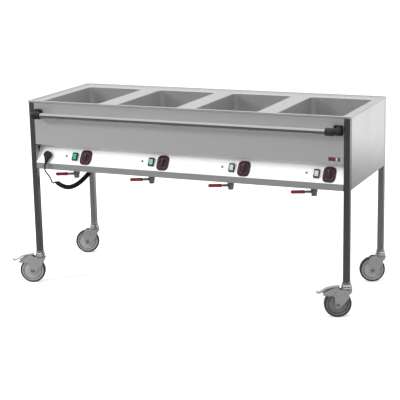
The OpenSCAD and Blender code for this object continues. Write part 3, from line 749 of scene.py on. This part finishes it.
for i, cx in enumerate(WELL_CX):
    w = Mesh()
    loops = [rrect(cx, 287, 305, 500, 25, 896.5, 10), rrect(cx, 287, 305, 500, 25, 812, 10), rrect(cx, 287, 305, 500, 25, 728, 10)]
    for k in range(1, 8):
        a = math.radians(90 * k / 7)
        o = 19.5 * (1 - math.cos(a))
        loops.append(rrect(cx, 287, 305 - 2 * o, 500 - 2 * o, 25 - 0.72 * o, 728 - 20 * math.sin(a), 10))
    w.loops(loops)
    dx = DRAIN_CX[i]
    cup = [circle(dx, DRAIN_Y, r, 32, z) for r, z in [(17, 708), (15.6, 707.5), (14.6, 706), (13.6, 703.5), (11, 702), (10.2, 700.5), (10.2, 577)]]
    w.loops(cup)
    w.add(*plate_with_holes([(x, y) for x, y, z in loops[-1]], [[(x, y) for x, y, z in cup[0]]], 708.0))
    w.obj(f"well_skin_{i + 1}", M_WELL, "well_stainless", "cart", replaces=(f"well_{i + 1}",), weld=True, solidify=1.5, angle=50)

for name, mat in (("front", "legs_front"), ("rear", "legs_rear")):
    for side in ("left", "right"):
        x, y = CORNERS[f"{name}_{side}"]
        leg = Mesh()
        leg.loops([rrect(x, y, LEG, LEG, 3.4, z, 6) for z in (160.0, 160.8, 300, 450, 577, 700, 901.6)])
        # front legs take the darker painted-shade copy, rear legs the lighter painted-light copy
        leg.obj(f"leg_{name}_{side}", M_LEG_PAINTED_SHADE if name == "front" else M_LEG_REAR_PAINTED_LIGHT, "brushed_stainless", "cart", replaces=(mat,), solidify=1.5)

IN_X = L / 2 - LEG
apron = Mesh()
apron.prism(sheet_poly([(52, 697), (2, 697), (2, 902.4), (18, 902.4)]), -IN_X, IN_X, plane="yz")
apron.obj("apron_front", M_APRON, "brushed_stainless", "cart", replaces=("front_apron",))
rear = Mesh()
rear.prism(sheet_poly([(D, BASE_Z), (D, 902.4), (D - 16, 902.4)], side=1), -IN_X, IN_X, plane="yz")
rear.obj("panel_rear", M_REAR, "brushed_stainless", "cart", replaces=("rear_panel",))
for s, nm in ((1, "right"), (-1, "left")):
    sd = Mesh()
    prof = sheet_poly([(800, 902.4), (800, BASE_Z), (782, BASE_Z)], side=-1)
    sd.prism([(s * a, b) for a, b in prof], LEG + 0.2, D - LEG - 0.2, plane="xz")
    sd.obj(f"panel_side_{nm}", M_SIDE, "brushed_stainless", "cart", replaces=(f"side_panel_{nm}",))
cad_look("control_panel", M_PANEL)
cad_look("base_tray", M_TRAY)
cad_look("terminal_box", M_GREYBOX, 1.5)
cad_look("thermostats", M_CASE, 0.6)
cad_look("heating_elements", M_ELEMENT)
cad_look("handle_screws", M_CHROME, 0.3)

# ================================================================== push handle
rail = Mesh()
rail.lathe([(11.0, -735.6), (12.1, -736), (12.5, -735.4), (12.5, -500), (12.5, 0), (12.5, 500), (12.5, 735.4), (12.1, 736), (11.0, 735.6)],
           Matrix.Translation((0, RAIL_Y, RAIL_Z)), 64, "x", closed=True)
rail.obj("push_rail", M_RAIL, "polished_tube", "cart", replaces=("handle_rail",))
for s, nm in ((1, "right"), (-1, "left")):
    b = Mesh()
    S = Matrix.Diagonal((s, 1, 1, 1))
    T = S @ Matrix.Translation((0, RAIL_Y, RAIL_Z))
    b.lathe([(12.6, 706.2), (15.9, 706.0), (17.0, 706.7), (17.5, 708.2), (17.5, 732.6), (18.0, 733.6), (18.4, 734.4), (18.4, 737.2), (17.9, 738),
             (16.9, 738.4), (13.5, 738.9), (6, 739), (0, 739), (0, 736.6), (12.6, 736.6)], T, 56, "x", closed=True)
    path = [Vector((752, -4, 849)), Vector((752, -18, 849)), Vector((752, -30, 849)), Vector((752, -37, 849))]
    for k in range(1, 9):
        a = math.radians(90 * k / 8)
        path.append(Vector((734 + 18 * math.cos(a), -37 - 18 * math.sin(a), 849)))
    b.sweep(path, [17.4, 15.9] + [15.4] * (len(path) - 2), 40, m=S)
    base = rrect(748, 847, 44, 46, 7, None, 8)
    b.prism(base, -2.6, 1.9, S, plane="xz")
    b.prism(rrect(748, 847, 40.5, 42.5, 6, None, 8), -5, -2.6, S, plane="xz")
    # moulded rib between the base and the socket
    b.prism([(752 - 3, -5), (752 + 3, -5), (752 + 3, -36), (752 - 3, -36)], 849 + 13, 849 + 17.5, S)
    b.obj(f"handle_bracket_{nm}", M_BLACK, "black_plastic", "cart", replaces=("handle_brackets",), bevel=0.9, segs=3, angle=42)

# ================================================================== controls
for i in range(4):
    P = on_panel(LAMP_CX[i], 43)
    ring = Mesh().lathe([(4.3, 0.05), (5.4, 0.05), (5.5, 0.3), (5.5, 1.2), (5.2, 1.5), (4.7, 1.6), (4.4, 1.3), (4.3, 0.6)], segs=40, closed=True)
    ring.obj(f"lamp_ring_{i + 1}", M_CHROME, "bright_zinc", "cart", frm=P)
    prof = [(0, -20), (3.7, -20), (3.8, -19.6), (3.8, -0.4), (4.35, -0.2), (4.4, 1.4)]
    prof += [(4.6 * math.cos(math.radians(a)), 1.4 + 3.9 * math.sin(math.radians(a))) for a in range(0, 91, 10)]
    lamp = Mesh().lathe(prof, segs=40)
    lamp.obj(f"lamp_lens_{i + 1}", M_LAMPS[i], "amber_lens", "cart", frm=P, replaces=("pilot_lamps",), angle=60)

    P = on_panel(SWITCH_CX[i], 41)
    fr = Mesh()
    fr.loops([rrect(0, 0, 26, 40, 2.5, 0.05, 5), rrect(0, 0, 26, 40, 2.5, 1.6, 5), rrect(0, 0, 25.4, 39.4, 2.3, 2.2, 5), rrect(0, 0, 25.4, 39.4, 2.3, 9.4, 5),
              rrect(0, 0, 24.9, 38.9, 2.2, 10.5, 5), rrect(0, 0, 23.9, 37.9, 2.0, 11.0, 5),
              rrect(0, 0, 21.4, 31.2, 1.2, 11.0, 5), rrect(0, 0, 20.2, 29.8, 0.9, 10.4, 5), rrect(0, 0, 19.5, 28.7, 0.7, 9.2, 5), rrect(0, 0, 19.4, 28.6, 0.7, -0.8, 5)],
             cap1=True)
    fr.loops([rrect(0, 0, 21.6, 29.6, 0.8, -0.2, 5), rrect(0, 0, 21.6, 29.6, 0.8, -25.4, 5), rrect(0, 0, 20.6, 28.6, 0.6, -26, 5)], cap0=True, cap1=True)
    for x in (-5.5, 0, 5.5):
        fr.box(x - 0.9, x + 0.9, -3.5, 3.5, -34, -25.9)
    fr.obj(f"switch_frame_{i + 1}", M_BLACK, "black_plastic", "cart", frm=P, replaces=("switch_frames",))
    R = P @ Matrix.Translation((0, 0, 6)) @ Matrix.Rotation(math.radians(9), 4, "X")
    top = [(-13 + 26 * k / 16, 5.4 - 2.0 * abs(-1 + k / 8) ** 1.0 - 0.9 * math.sin(math.pi * min(1.0, abs(-1 + k / 8)))) for k in range(17)]
    rk = Mesh().prism([(-13, -3), (13, -3)] + [(a, b) for a, b in reversed(top)], -9.1, 9.1, plane="yz")
    rk.lathe([(0, -10.4), (1.4, -10.4), (1.4, 10.4), (0, 10.4)], None, 20, "x")
    rk.obj(f"switch_rocker_{i + 1}", M_ROCKERS[i], "switch_lens", f"switch_{i + 1}", frm=R, replaces=(f"rocker_{i + 1}",), bevel=0.45, segs=3, angle=40)

    P = on_panel(DIAL_CX[i], 41)
    out = []
    for k in range(96):
        a = 2 * math.pi * k / 96
        m_ = (abs(math.cos(a) / 30) ** 3.4 + abs(math.sin(a) / 37) ** 3.4) ** (-1 / 3.4)
        out.append((m_ * math.cos(a), m_ * math.sin(a)))
    bz = Mesh()

    def plate_ring(s, z):
        return [(x * s, y * s, z) for x, y in out]
    bz.loops([plate_ring(1, 0.05), plate_ring(1, 2.4), plate_ring(0.985, 3.4), plate_ring(0.955, 3.9), plate_ring(0.93, 4.0),
              [(21.6 * math.cos(2 * math.pi * k / 96), 21.6 * math.sin(2 * math.pi * k / 96), 4.0) for k in range(96)],
              [(20.9 * math.cos(2 * math.pi * k / 96), 20.9 * math.sin(2 * math.pi * k / 96), 3.4) for k in range(96)],
              [(6.2 * math.cos(2 * math.pi * k / 96), 6.2 * math.sin(2 * math.pi * k / 96), 3.2) for k in range(96)],
              [(6.0 * math.cos(2 * math.pi * k / 96), 6.0 * math.sin(2 * math.pi * k / 96), 0.05) for k in range(96)]], closed=True)
    bz.obj(f"dial_bezel_{i + 1}", M_BEZEL, "maroon_plastic", "cart", frm=P, replaces=("dial_bezels",), angle=38)
    Mesh().lathe([(21.2, 3.3), (23.9, 3.9), (24.0, 4.8), (23.7, 5.6), (23.2, 6.0), (21.8, 6.0), (21.1, 5.6), (20.9, 4.8)], segs=96, closed=True).obj(
        f"dial_ring_{i + 1}", M_RING, "maroon_plastic", "cart", frm=P)
    ticks = Mesh()
    for k in range(11):
        a = math.radians(240 - 30 * k)
        m = Matrix.Rotation(a, 4, "Z")
        w_ = 0.4 if k % 5 else 0.6
        ticks.box(25.2, 26.6 if k % 5 else 27.4, -w_, w_, 3.92, 4.12, m)
    ticks.obj(f"dial_marks_{i + 1}", M_MARK, "maroon_plastic", "cart", frm=P, bevel=0.08, segs=1)
    kn = Mesh()
    kn.lathe([(3.05, 4.3), (19.2, 4.3), (19.8, 4.7), (20, 5.4), (20, 7.2), (19.6, 8.1), (18.6, 8.5), (16.4, 8.7), (3.05, 8.7)], segs=96, closed=True)
    kn.obj(f"knob_skirt_{i + 1}", M_KNOB, "knob_plastic", f"dial_{i + 1}", frm=P, replaces=(f"knob_{i + 1}",))
    gr = Mesh()
    sec = []
    for y in [-17.6, -17.2, -15.8, -12.6, -7.2, 0, 7.2, 12.6, 15.8, 17.2, 17.6]:
        e = abs(y) / 17.6
        hw = 6.0 * math.sqrt(max(0.0, 1 - e ** 6)) * (1 - 0.10 * math.cos(math.pi * e / 2)) + 0.3
        top_z = 15.9 - 1.4 * e ** 4
        sec.append([(-hw, y, 8.4), (-hw * 0.97, y, 10.5), (-hw * 0.88, y, top_z - 1.2), (-hw * 0.68, y, top_z - 0.25), (-hw * 0.3, y, top_z), (hw * 0.3, y, top_z),
                    (hw * 0.68, y, top_z - 0.25), (hw * 0.88, y, top_z - 1.2), (hw * 0.97, y, 10.5), (hw, y, 8.4)])
    gr.loops(sec, cap0=True, cap1=True)
    gr.obj(f"knob_grip_{i + 1}", M_KNOBTOP, "knob_plastic", f"dial_{i + 1}", frm=P, angle=50)
    Mesh().prism([(-0.6, 8), (0.6, 8), (0.6, 16.4), (-0.6, 16.4)], 14.2, 15.98).obj(f"knob_mark_{i + 1}", M_MARK, "knob_plastic", f"dial_{i + 1}", frm=P, bevel=0.2, segs=2)

# name plate: plain, a blank enamel field with a domed rivet at its right-hand end
N = Matrix.Translation((729, 2, 718)) @ Matrix.Rotation(math.pi / 2, 4, "X")
pl = Mesh()
pl.loops([rrect(0, 0, 54, 17, 3, 0.05, 6), rrect(0, 0, 54, 17, 3, 0.6, 6), rrect(0, 0, 53.4, 16.4, 2.8, 0.85, 6), rrect(0, 0, 52.4, 15.4, 2.3, 0.85, 6),
          rrect(0, 0, 52.2, 15.2, 2.2, 0.7, 6)], cap0=True, cap1=True)
pl.obj("name_plate_frame", M_BADGE_EDGE, "enamel_plate", "cart", frm=N, replaces=("name_plate",))
Mesh().loops([rrect(-9.5, 0, 32, 14.8, 1.8, 0.65, 6), rrect(-9.5, 0, 32, 14.8, 1.8, 0.9, 6), rrect(-9.5, 0, 31.4, 14.2, 1.6, 1.0, 6)], cap0=True, cap1=True).obj(
    "name_plate_field", M_BADGE, "enamel_plate", "cart", frm=N)
Mesh().loops([rrect(11, 0, 8, 14.8, 1.4, 0.65, 6), rrect(11, 0, 8, 14.8, 1.4, 0.9, 6), rrect(11, 0, 7.4, 14.2, 1.2, 1.0, 6)], cap0=True, cap1=True).obj(
    "name_plate_band", M_BADGE_PALE, "enamel_plate", "cart", frm=N)
Mesh().lathe([(5.6, 0.65), (5.6, 0.8), (5.0, 0.95), (3.2, 1.12), (0, 1.2), (0, 0.65)], Matrix.Translation((19, 0, 0)), 32).obj(
    "name_plate_rivet", M_CHROME, "enamel_plate", "cart", frm=N)

# ================================================================== drain valves
for i in range(4):
    V = Matrix.Translation((DRAIN_CX[i], DRAIN_Y, DRAIN_Z))
    vb = Mesh()
    prof = [(9.3, -12.2), (9.3, -23.4), (9.9, -24), (12.4, -24), (13, -23.4), (13, -15.2)]
    prof += [(13.4, -14), (13.4, -8), (12.6, -6.6)]
    prof += [(16.4 * math.cos(math.radians(a)), 16.4 * math.sin(math.radians(a))) for a in (-28, -20, -12, -4, 4, 12, 20, 28)]
    prof += [(13.2, 10.5), (13.2, 14), (14.9, 15.2), (14.9, 27.4)]
    for k in range(4):
        prof += [(14.9, 28.2 + 2.4 * k), (14.2, 29.2 + 2.4 * k), (14.2, 29.8 + 2.4 * k)]
    prof += [(14.9, 38), (14.9, 41.4), (14.3, 42), (12.7, 42), (12.7, 26), (10.1, 25), (10.1, 15), (7, 12), (6, 10), (6, -10)]
    vb.lathe(prof, segs=56, closed=True)
    vb.obj(f"valve_body_{i + 1}", M_NICKEL, "nickel_brass", "cart", frm=V, replaces=("valve_bodies",), angle=40)
    hx = Mesh()
    hexo = [[(r * math.cos(math.radians(60 * k)), r * math.sin(math.radians(60 * k)), z) for k in range(6)] for r, z in ((12.2, -15.1), (13.2, -15.2), (15.0, -14.4), (15.0, -7.8), (13.2, -7), (12.2, -7.1))]
    hx.loops(hexo)
    hex2 = [[(r * math.cos(math.radians(60 * k + 30)), r * math.sin(math.radians(60 * k + 30)), z) for k in range(6)] for r, z in ((13.4, 15.2), (15.0, 16), (15.0, 25.2), (13.4, 26))]
    hx.loops(hex2)
    hx.lathe([(3.6, 15.2), (7.4, 15.2), (8, 15.8), (8, 17.5), (7.0, 18.2), (7.0, 19.4), (6.6, 19.9), (3.6, 19.9)], Matrix.Rotation(math.pi / 2, 4, "X"), 40, closed=True)
    hx.obj(f"valve_hex_{i + 1}", M_NICKEL, "nickel_brass", "cart", frm=V, bevel=0.35, segs=2, angle=25)

    B = f"valve_{i + 1}"
    lv = Mesh()
    X = Matrix.Rotation(math.pi / 2, 4, "X")       # local z becomes -Y
    ball = [(6.0 if abs(h) > 7.3 else math.sqrt(9.4 ** 2 - h * h), h) for h in [-7.3, -6, -4, -2, 0, 2, 4, 6, 7.3]]
    lv.lathe([(6.0, -7.3)] + ball + [(6.0, 7.3)], Matrix.Rotation(math.pi / 2, 4, "Y"), 40, closed=True)
    lv.lathe([(0, 8), (3.4, 8), (3.4, 20.6), (9.2, 20.9), (9.5, 21.3), (9.5, 23.7), (9.1, 24), (3.4, 24), (3.4, 28.2), (2.9, 28.7), (0, 28.7)], X, 40)
    lv.prism(circle(0, 0, 5.9, 6), 24, 27.4, X)
    plate = [(-2, -6), (-30, -6), (-36, -5), (-95, -5), (-97, -3.2), (-97, 2.2), (-95, 4), (-36, 4), (-30, 6), (-2, 6)]
    arcs = [(5.8 * math.cos(math.radians(a)) - 2 + 0.0, 6 * math.sin(math.radians(a))) for a in (75, 50, 25, 0, -25, -50, -75)]
    DIP = Matrix.Rotation(math.radians(-5), 4, "Y")
    lv.prism([(x, z) for x, z in plate + arcs], -24, -21, DIP, plane="xz")
    lv.obj(f"lever_{i + 1}", M_LEVER, "zinc_lever", B, frm=V, replaces=(f"valve_lever_{i + 1}",), bevel=0.4, segs=2, angle=35)
    gp = Mesh()
    xs = [-105, -104.4, -102.5, -99, -95, -86, -75, -61, -49, -41, -39.4, -38.4, -37.2, -37]
    secs = []
    for x in xs:
        e = max(0.0, (-x - 97) / 8.0)
        hh = 8.4 * math.sqrt(max(0.02, 1 - e * e)) * (1 - 0.05 * math.exp(-((x + 71) / 14) ** 2))
        hd = 4.45 * math.sqrt(max(0.04, 1 - e * e))
        if x > -40:
            hh, hd = hh * (1.0 if x < -38 else 0.95), hd * (1.0 if x < -38 else 0.93)
        secs.append([(x, -22.5 + hd * math.copysign(abs(math.sin(2 * math.pi * k / 32)) ** 0.75, math.sin(2 * math.pi * k / 32)),
                      -0.5 + hh * math.copysign(abs(math.cos(2 * math.pi * k / 32)) ** 0.75, math.cos(2 * math.pi * k / 32))) for k in range(32)])
    gp.loops(secs, cap0=True, cap1=True)
    gp.obj(f"grip_{i + 1}", M_GRIP, "red_grip", B, frm=V @ DIP, replaces=(f"lever_grip_{i + 1}",), angle=50)

# ================================================================== casters
def arc_yz(r, a0, a1, cx, cy, n=6):
    return arc(cx, cy, r, a0, a1, n)


for name, (cx0, cy0) in CORNERS.items():
    K = at_caster(name)
    front = name.startswith("front")
    # fixed part: stepped plated collar that plugs into the leg
    ft = Mesh()
    ft.lathe([(6.05, 141), (22.6, 141), (23.6, 141.3), (24, 142), (24, 145.4), (23.5, 146.6), (22.4, 147.4), (21.6, 148.6), (21.2, 150.2), (20.2, 151.0), (19.9, 151.6),
              (20, 152.4), (20, 158.2), (19.6, 159.4), (18.6, 160), (6.05, 160)], segs=64, closed=True)
    sq = rrect(0, 0, LEG - 3.2, LEG - 3.2, 1.4, None, 4)
    ft.prism(sq, 159.5, 194.5, Matrix.Rotation(-SWIVEL, 4, "Z"))
    ft.obj(f"caster_collar_{name}", M_CHROME, "bright_zinc", "cart", frm=K, replaces=("caster_fittings",), angle=32)

    body = f"swivel_{name}"
    # pressed fork: two cheeks joined by a rounded front web and a crown
    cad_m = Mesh()
    if front:
        pts = [(17, 129), (17, 120), (11.5, 108.4), (11, 91), (-28, 47), (-31, 45.2), (-35, 44.5), (-43, 44.5), (-47, 45.2), (-50, 47), (-53, 92), (-55.5, 97), (-61, 101),
               (-82, 101.8), (-98, 102.4), (-103.4, 104.2), (-106.5, 107.4), (-108.2, 110.2), (-96, 118.6), (-84, 126), (-72, 132), (-60, 136.6), (-48, 138.8), (-38, 138.9), (-34.6, 137.4), (-31.6, 133), (-30, 129)]
    else:
        pts = [(17, 129), (17, 120), (11.5, 108.4), (11, 91), (-28, 47), (-31, 45.2), (-35, 44.5), (-43, 44.5), (-47, 45.2), (-50, 47), (-53, 92), (-56, 97.5), (-60.4, 102.4),
               (-61.8, 106), (-61, 110), (-56, 116.4), (-44, 129)]
    for y0 in (-20, 17):
        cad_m.prism(pts, y0, y0 + 3, plane="xz")
    secs = []
    for z, tf in ((129, 25), (127.4, 25), (121, 25), (116, 22.7), (111, 20.3), (108, 18.9)):
        line = [(tf - 9, 20)] + [(tf - 9 + 9 * math.sin(math.radians(a)), 11 + 9 * math.cos(math.radians(a))) for a in range(15, 91, 15)]
        line += [(x, -y) for x, y in reversed(line)]
        back = [(tf - 9, 17)] + [(tf - 9 + 6 * math.sin(math.radians(a)), 11 + 6 * math.cos(math.radians(a))) for a in range(15, 91, 15)]
        back += [(x, -y) for x, y in reversed(back)]
        secs.append([(x, y, z) for x, y in line] + [(x, y, z) for x, y in reversed(back)])
    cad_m.loops(secs, cap0=True, cap1=True)
    crown = [(-26, -19.6), (16, -19.6), (20.5, -18.2), (23.6, -15), (24.8, -11), (24.8, 11), (23.6, 15), (20.5, 18.2), (16, 19.6), (-26, 19.6)]
    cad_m.prism(crown, 125.6, 129)
    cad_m.obj(f"fork_shell_{name}", M_FORK, "zinc_fork", body, frm=K, replaces=(f"fork_{name}",), bevel=0.8, segs=3, angle=38)
    hd = Mesh()
    hd.lathe([(0, 128.6), (24.0, 128.6), (24.8, 129.4), (25, 130.4), (25, 134.6), (24.4, 135.8), (23.2, 136.4), (22.6, 137.2), (22.4, 138.6), (21.6, 139.8), (20, 140.5), (8, 140.5),
              (6, 140.4), (6, 148.4), (5.4, 149), (0, 149)], segs=64)
    A = Matrix.Translation((-TRAIL, 0, WR)) @ Matrix.Rotation(-math.pi / 2, 4, "X")
    hd.lathe([(0, -22), (5, -22), (5, 22), (0, 22)], A, 32)
    for sgn in (-1, 1):
        Z = A @ Matrix.Diagonal((1, 1, sgn, 1))
        hd.lathe([(5, 20.0), (9.6, 20.0), (9.9, 20.3), (9.9, 21.0), (9.5, 21.3), (5, 21.3)], Z, 36, closed=True)
        hd.loops([[(r * math.cos(math.radians(60 * k)), r * math.sin(math.radians(60 * k)), z) for k in range(6)] for r, z in ((7.4, 21.2), (7.5, 21.4), (7.5, 23.3), (6.9, 24.0), (3.8, 24.0))], cap1=True, m=Z)
        if front:      # rivets of the brake housing
            for t, z in ((-51, 121), (-88, 114)):
                hd.lathe([(2.0, 19.6), (3.6, 19.9), (3.5, 20.7), (2.7, 21.3), (1.4, 21.6), (0, 21.7)], Matrix.Translation((t, 0, z)) @ Matrix.Rotation(-math.pi / 2, 4, "X") @ Matrix.Diagonal((1, 1, sgn, 1)), 24)
    hd.obj(f"caster_head_{name}", M_CHROME, "bright_zinc", body, frm=K, angle=32)

    wb = f"roller_{name}"
    wprof = [(5.1, -16.5), (9.6, -16.6), (10.7, -16.2), (11.2, -15.2), (12.6, -12.2), (14.6, -10.9), (20, -10.6), (22, -11.1), (23.2, -11.1), (25, -10.4), (38.6, -9.5), (40.6, -9.0), (42.2, -7.6),
             (43.4, -6.2), (45.6, -6.2), (46.6, -7.4), (47.2, -11.6), (48, -12.8), (49.4, -13.1), (52.6, -12.6), (53.8, -12.0)]
    wm = Mesh().lathe(wprof + [(r, -h) for r, h in reversed(wprof)], A, 96, closed=True)
    # the front-right wheel takes the darker nylon copy as painted shade
    wm.obj(f"wheel_core_{name}", M_WHEEL_PAINTED_SHADE if name == "front_right" else M_WHEEL, "wheel_plastic", wb, frm=K, replaces=(f"wheel_{name}",), angle=34)
    tprof = [(53.9, -13.8), (55.6, -14.0)] + [(56 + 6 * math.cos(math.radians(a)), -8 + 6 * math.sin(math.radians(a))) for a in range(-90, 1, 15)]
    tprof += [(62, -4.2), (61.6, -3.8), (61.6, -3.2), (62, -2.8)]
    tm = Mesh().lathe(tprof + [(r, -h) for r, h in reversed(tprof)], A, 96, closed=True)
    tm.obj(f"tyre_band_{name}", M_TYRE, "tyre_rubber", wb, frm=K, replaces=(f"tyre_{name}",), angle=40)

    if front:
        side = name.split("_")[1]
        pd = Mesh()
        path = [(-31, 145.4), (-60, 142.4), (-74, 139.4), (-88, 136.6), (-98, 130.8), (-108, 124.2), (-119, 117.6), (-126.5, 115.6), (-130.2, 118.0), (-133.0, 121.9)]
        prof = sheet_poly(path, t=3.6, r=7, side=1, n=5)
        pd.prism(prof, -12.9, 12.9, plane="xz")
        for y0 in (-13, 10):
            ear = [(-53.4, 141)] + [(-48 + 5.5 * math.cos(math.radians(a)), 131 + 5.5 * math.sin(math.radians(a))) for a in range(180, 361, 20)] + [(-42.6, 141)]
            pd.prism(ear, y0, y0 + 3, plane="xz")
        pd.lathe([(0, -21), (2.5, -21), (2.9, -20.6), (2.9, 20.6), (2.5, 21), (0, 21)], Matrix.Translation((-48, 0, 131)) @ Matrix.Rotation(-math.pi / 2, 4, "X"), 24)
        for k in range(4):      # tread ribs pressed into the toe plate
            t = -96 - 6.4 * k
            z = 131.9 - (k * 6.4 + 0.2) * 0.655
            pd.box(-1.1, 1.1, -9, 9, -0.3, 0.75, Matrix.Translation((t, 0, z)) @ Matrix.Rotation(math.radians(-33), 4, "Y"))
        pd.obj(f"pedal_{side}_plate", M_FORK, "zinc_fork", f"pedal_{side}", frm=K, replaces=(f"brake_pedal_{side}",), bevel=0.5, segs=2, angle=38)

# ================================================================== floor, world and lights
bpy.ops.mesh.primitive_plane_add(size=240, location=(0, 60, 0))
floor = bpy.context.object
floor.name = "studio_floor"
fm, fnt, fb = new_mat("m_floor")
fn = noise(fnt, coords(fnt), 1.2, 2, 0.5)
pale = ramp(fnt, fn, 0.3, 0.7, (0.86, 0.86, 0.86), (0.88, 0.88, 0.88))
# the studio in front of the object is unlit, so bright metal mirrors a darker floor there
ftc = fnt.nodes.new("ShaderNodeTexCoord")
fsep = fnt.nodes.new("ShaderNodeSeparateXYZ")
fnt.links.new(ftc.outputs["Object"], fsep.inputs["Vector"])
fy = maprange(fnt, fsep.outputs["Y"], 0.0, 1.0, -62.4, -55.9)
mirrored = ramp(fnt, fy, 0.0, 0.49, (0.07, 0.07, 0.07), (0.17, 0.17, 0.17))
stops = fnt.nodes[-1].color_ramp.elements
for at, grey in ((0.68, 0.23), (0.815, 0.42), (0.985, 0.95)):
    stops.new(at).color = (grey, grey, grey, 1)
lp = fnt.nodes.new("ShaderNodeLightPath")
fnt.links.new(mix_color(fnt, lp.outputs["Is Glossy Ray"], pale, mirrored), fb.inputs["Base Color"])
fb.inputs["Roughness"].default_value = 0.9
fb.inputs["Specular IOR Level"].default_value = 0.1
# the paper sweep glows a little, so it reads white right up to the horizon
fb.inputs["Emission Color"].default_value = (1, 1, 1, 1)
fnt.links.new(math_node(fnt, "MULTIPLY", math_node(fnt, "SUBTRACT", 1.0, lp.outputs["Is Glossy Ray"]), 0.34), fb.inputs["Emission Strength"])
floor.data.materials.append(fm)

world = bpy.data.worlds.new("studio")
scene.world = world
world.use_nodes = True
wn = world.node_tree
bg = next(n for n in wn.nodes if n.type == "BACKGROUND")
tc = wn.nodes.new("ShaderNodeTexCoord")
sep = wn.nodes.new("ShaderNodeSeparateXYZ")
wn.links.new(tc.outputs["Generated"], sep.inputs["Vector"])
wr = wn.nodes.new("ShaderNodeValToRGB")
wr.color_ramp.elements[0].position = 0.05
wr.color_ramp.elements[0].color = (0.0, 0.0, 0.0, 1)
wr.color_ramp.elements[1].position = 0.50
wr.color_ramp.elements[1].color = (1.0, 1.0, 1.0, 1)
wn.links.new(sep.outputs["Z"], wr.inputs["Fac"])
wy = wn.nodes.new("ShaderNodeValToRGB")
wy.color_ramp.elements[0].position = 0.30
wy.color_ramp.elements[0].color = (0.10, 0.10, 0.105, 1)
wy.color_ramp.elements[1].position = 0.75
wy.color_ramp.elements[1].color = (0.62, 0.62, 0.62, 1)
wn.links.new(maprange(wn, sep.outputs["Y"], 0.0, 1.0, -1.0, 1.0), wy.inputs["Fac"])
wmix = wn.nodes.new("ShaderNodeMix")
wmix.data_type = "RGBA"
wn.links.new(wr.outputs["Color"], wmix.inputs[0])
wn.links.new(wy.outputs["Color"], wmix.inputs[6])
wmix.inputs[7].default_value = (1.0, 1.0, 1.0, 1)
wlp = wn.nodes.new("ShaderNodeLightPath")
wcam = wn.nodes.new("ShaderNodeMix")
wcam.data_type = "RGBA"
wn.links.new(wlp.outputs["Is Camera Ray"], wcam.inputs[0])
wn.links.new(wmix.outputs[2], wcam.inputs[6])
wcam.inputs[7].default_value = (1.05, 1.05, 1.05, 1)
wn.links.new(wcam.outputs[2], bg.inputs["Color"])
bg.inputs["Strength"].default_value = 0.95


def area(name, loc, target, size, size_y, power, color=(1, 1, 1)):
    li = bpy.data.lights.new(name, "AREA")
    li.shape = "RECTANGLE"
    li.size, li.size_y = size, size_y
    li.energy = power
    li.color = color
    ob = bpy.data.objects.new(name, li)
    scene.collection.objects.link(ob)
    ob.location = loc
    d = Vector(target) - Vector(loc)
    ob.rotation_euler = d.to_track_quat("-Z", "Y").to_euler()
    ob.visible_glossy = False
    return ob


area("overhead", (0.0, 0.4, 4.2), (0, 0, 0.5), 5.0, 3.0, 90)
area("key_left", (-5.4, -5.3, 3.7), (0, 0, 0.6), 1.5, 1.5, 470)

scene.view_settings.view_transform = "Standard"
scene.view_settings.exposure = 0.0
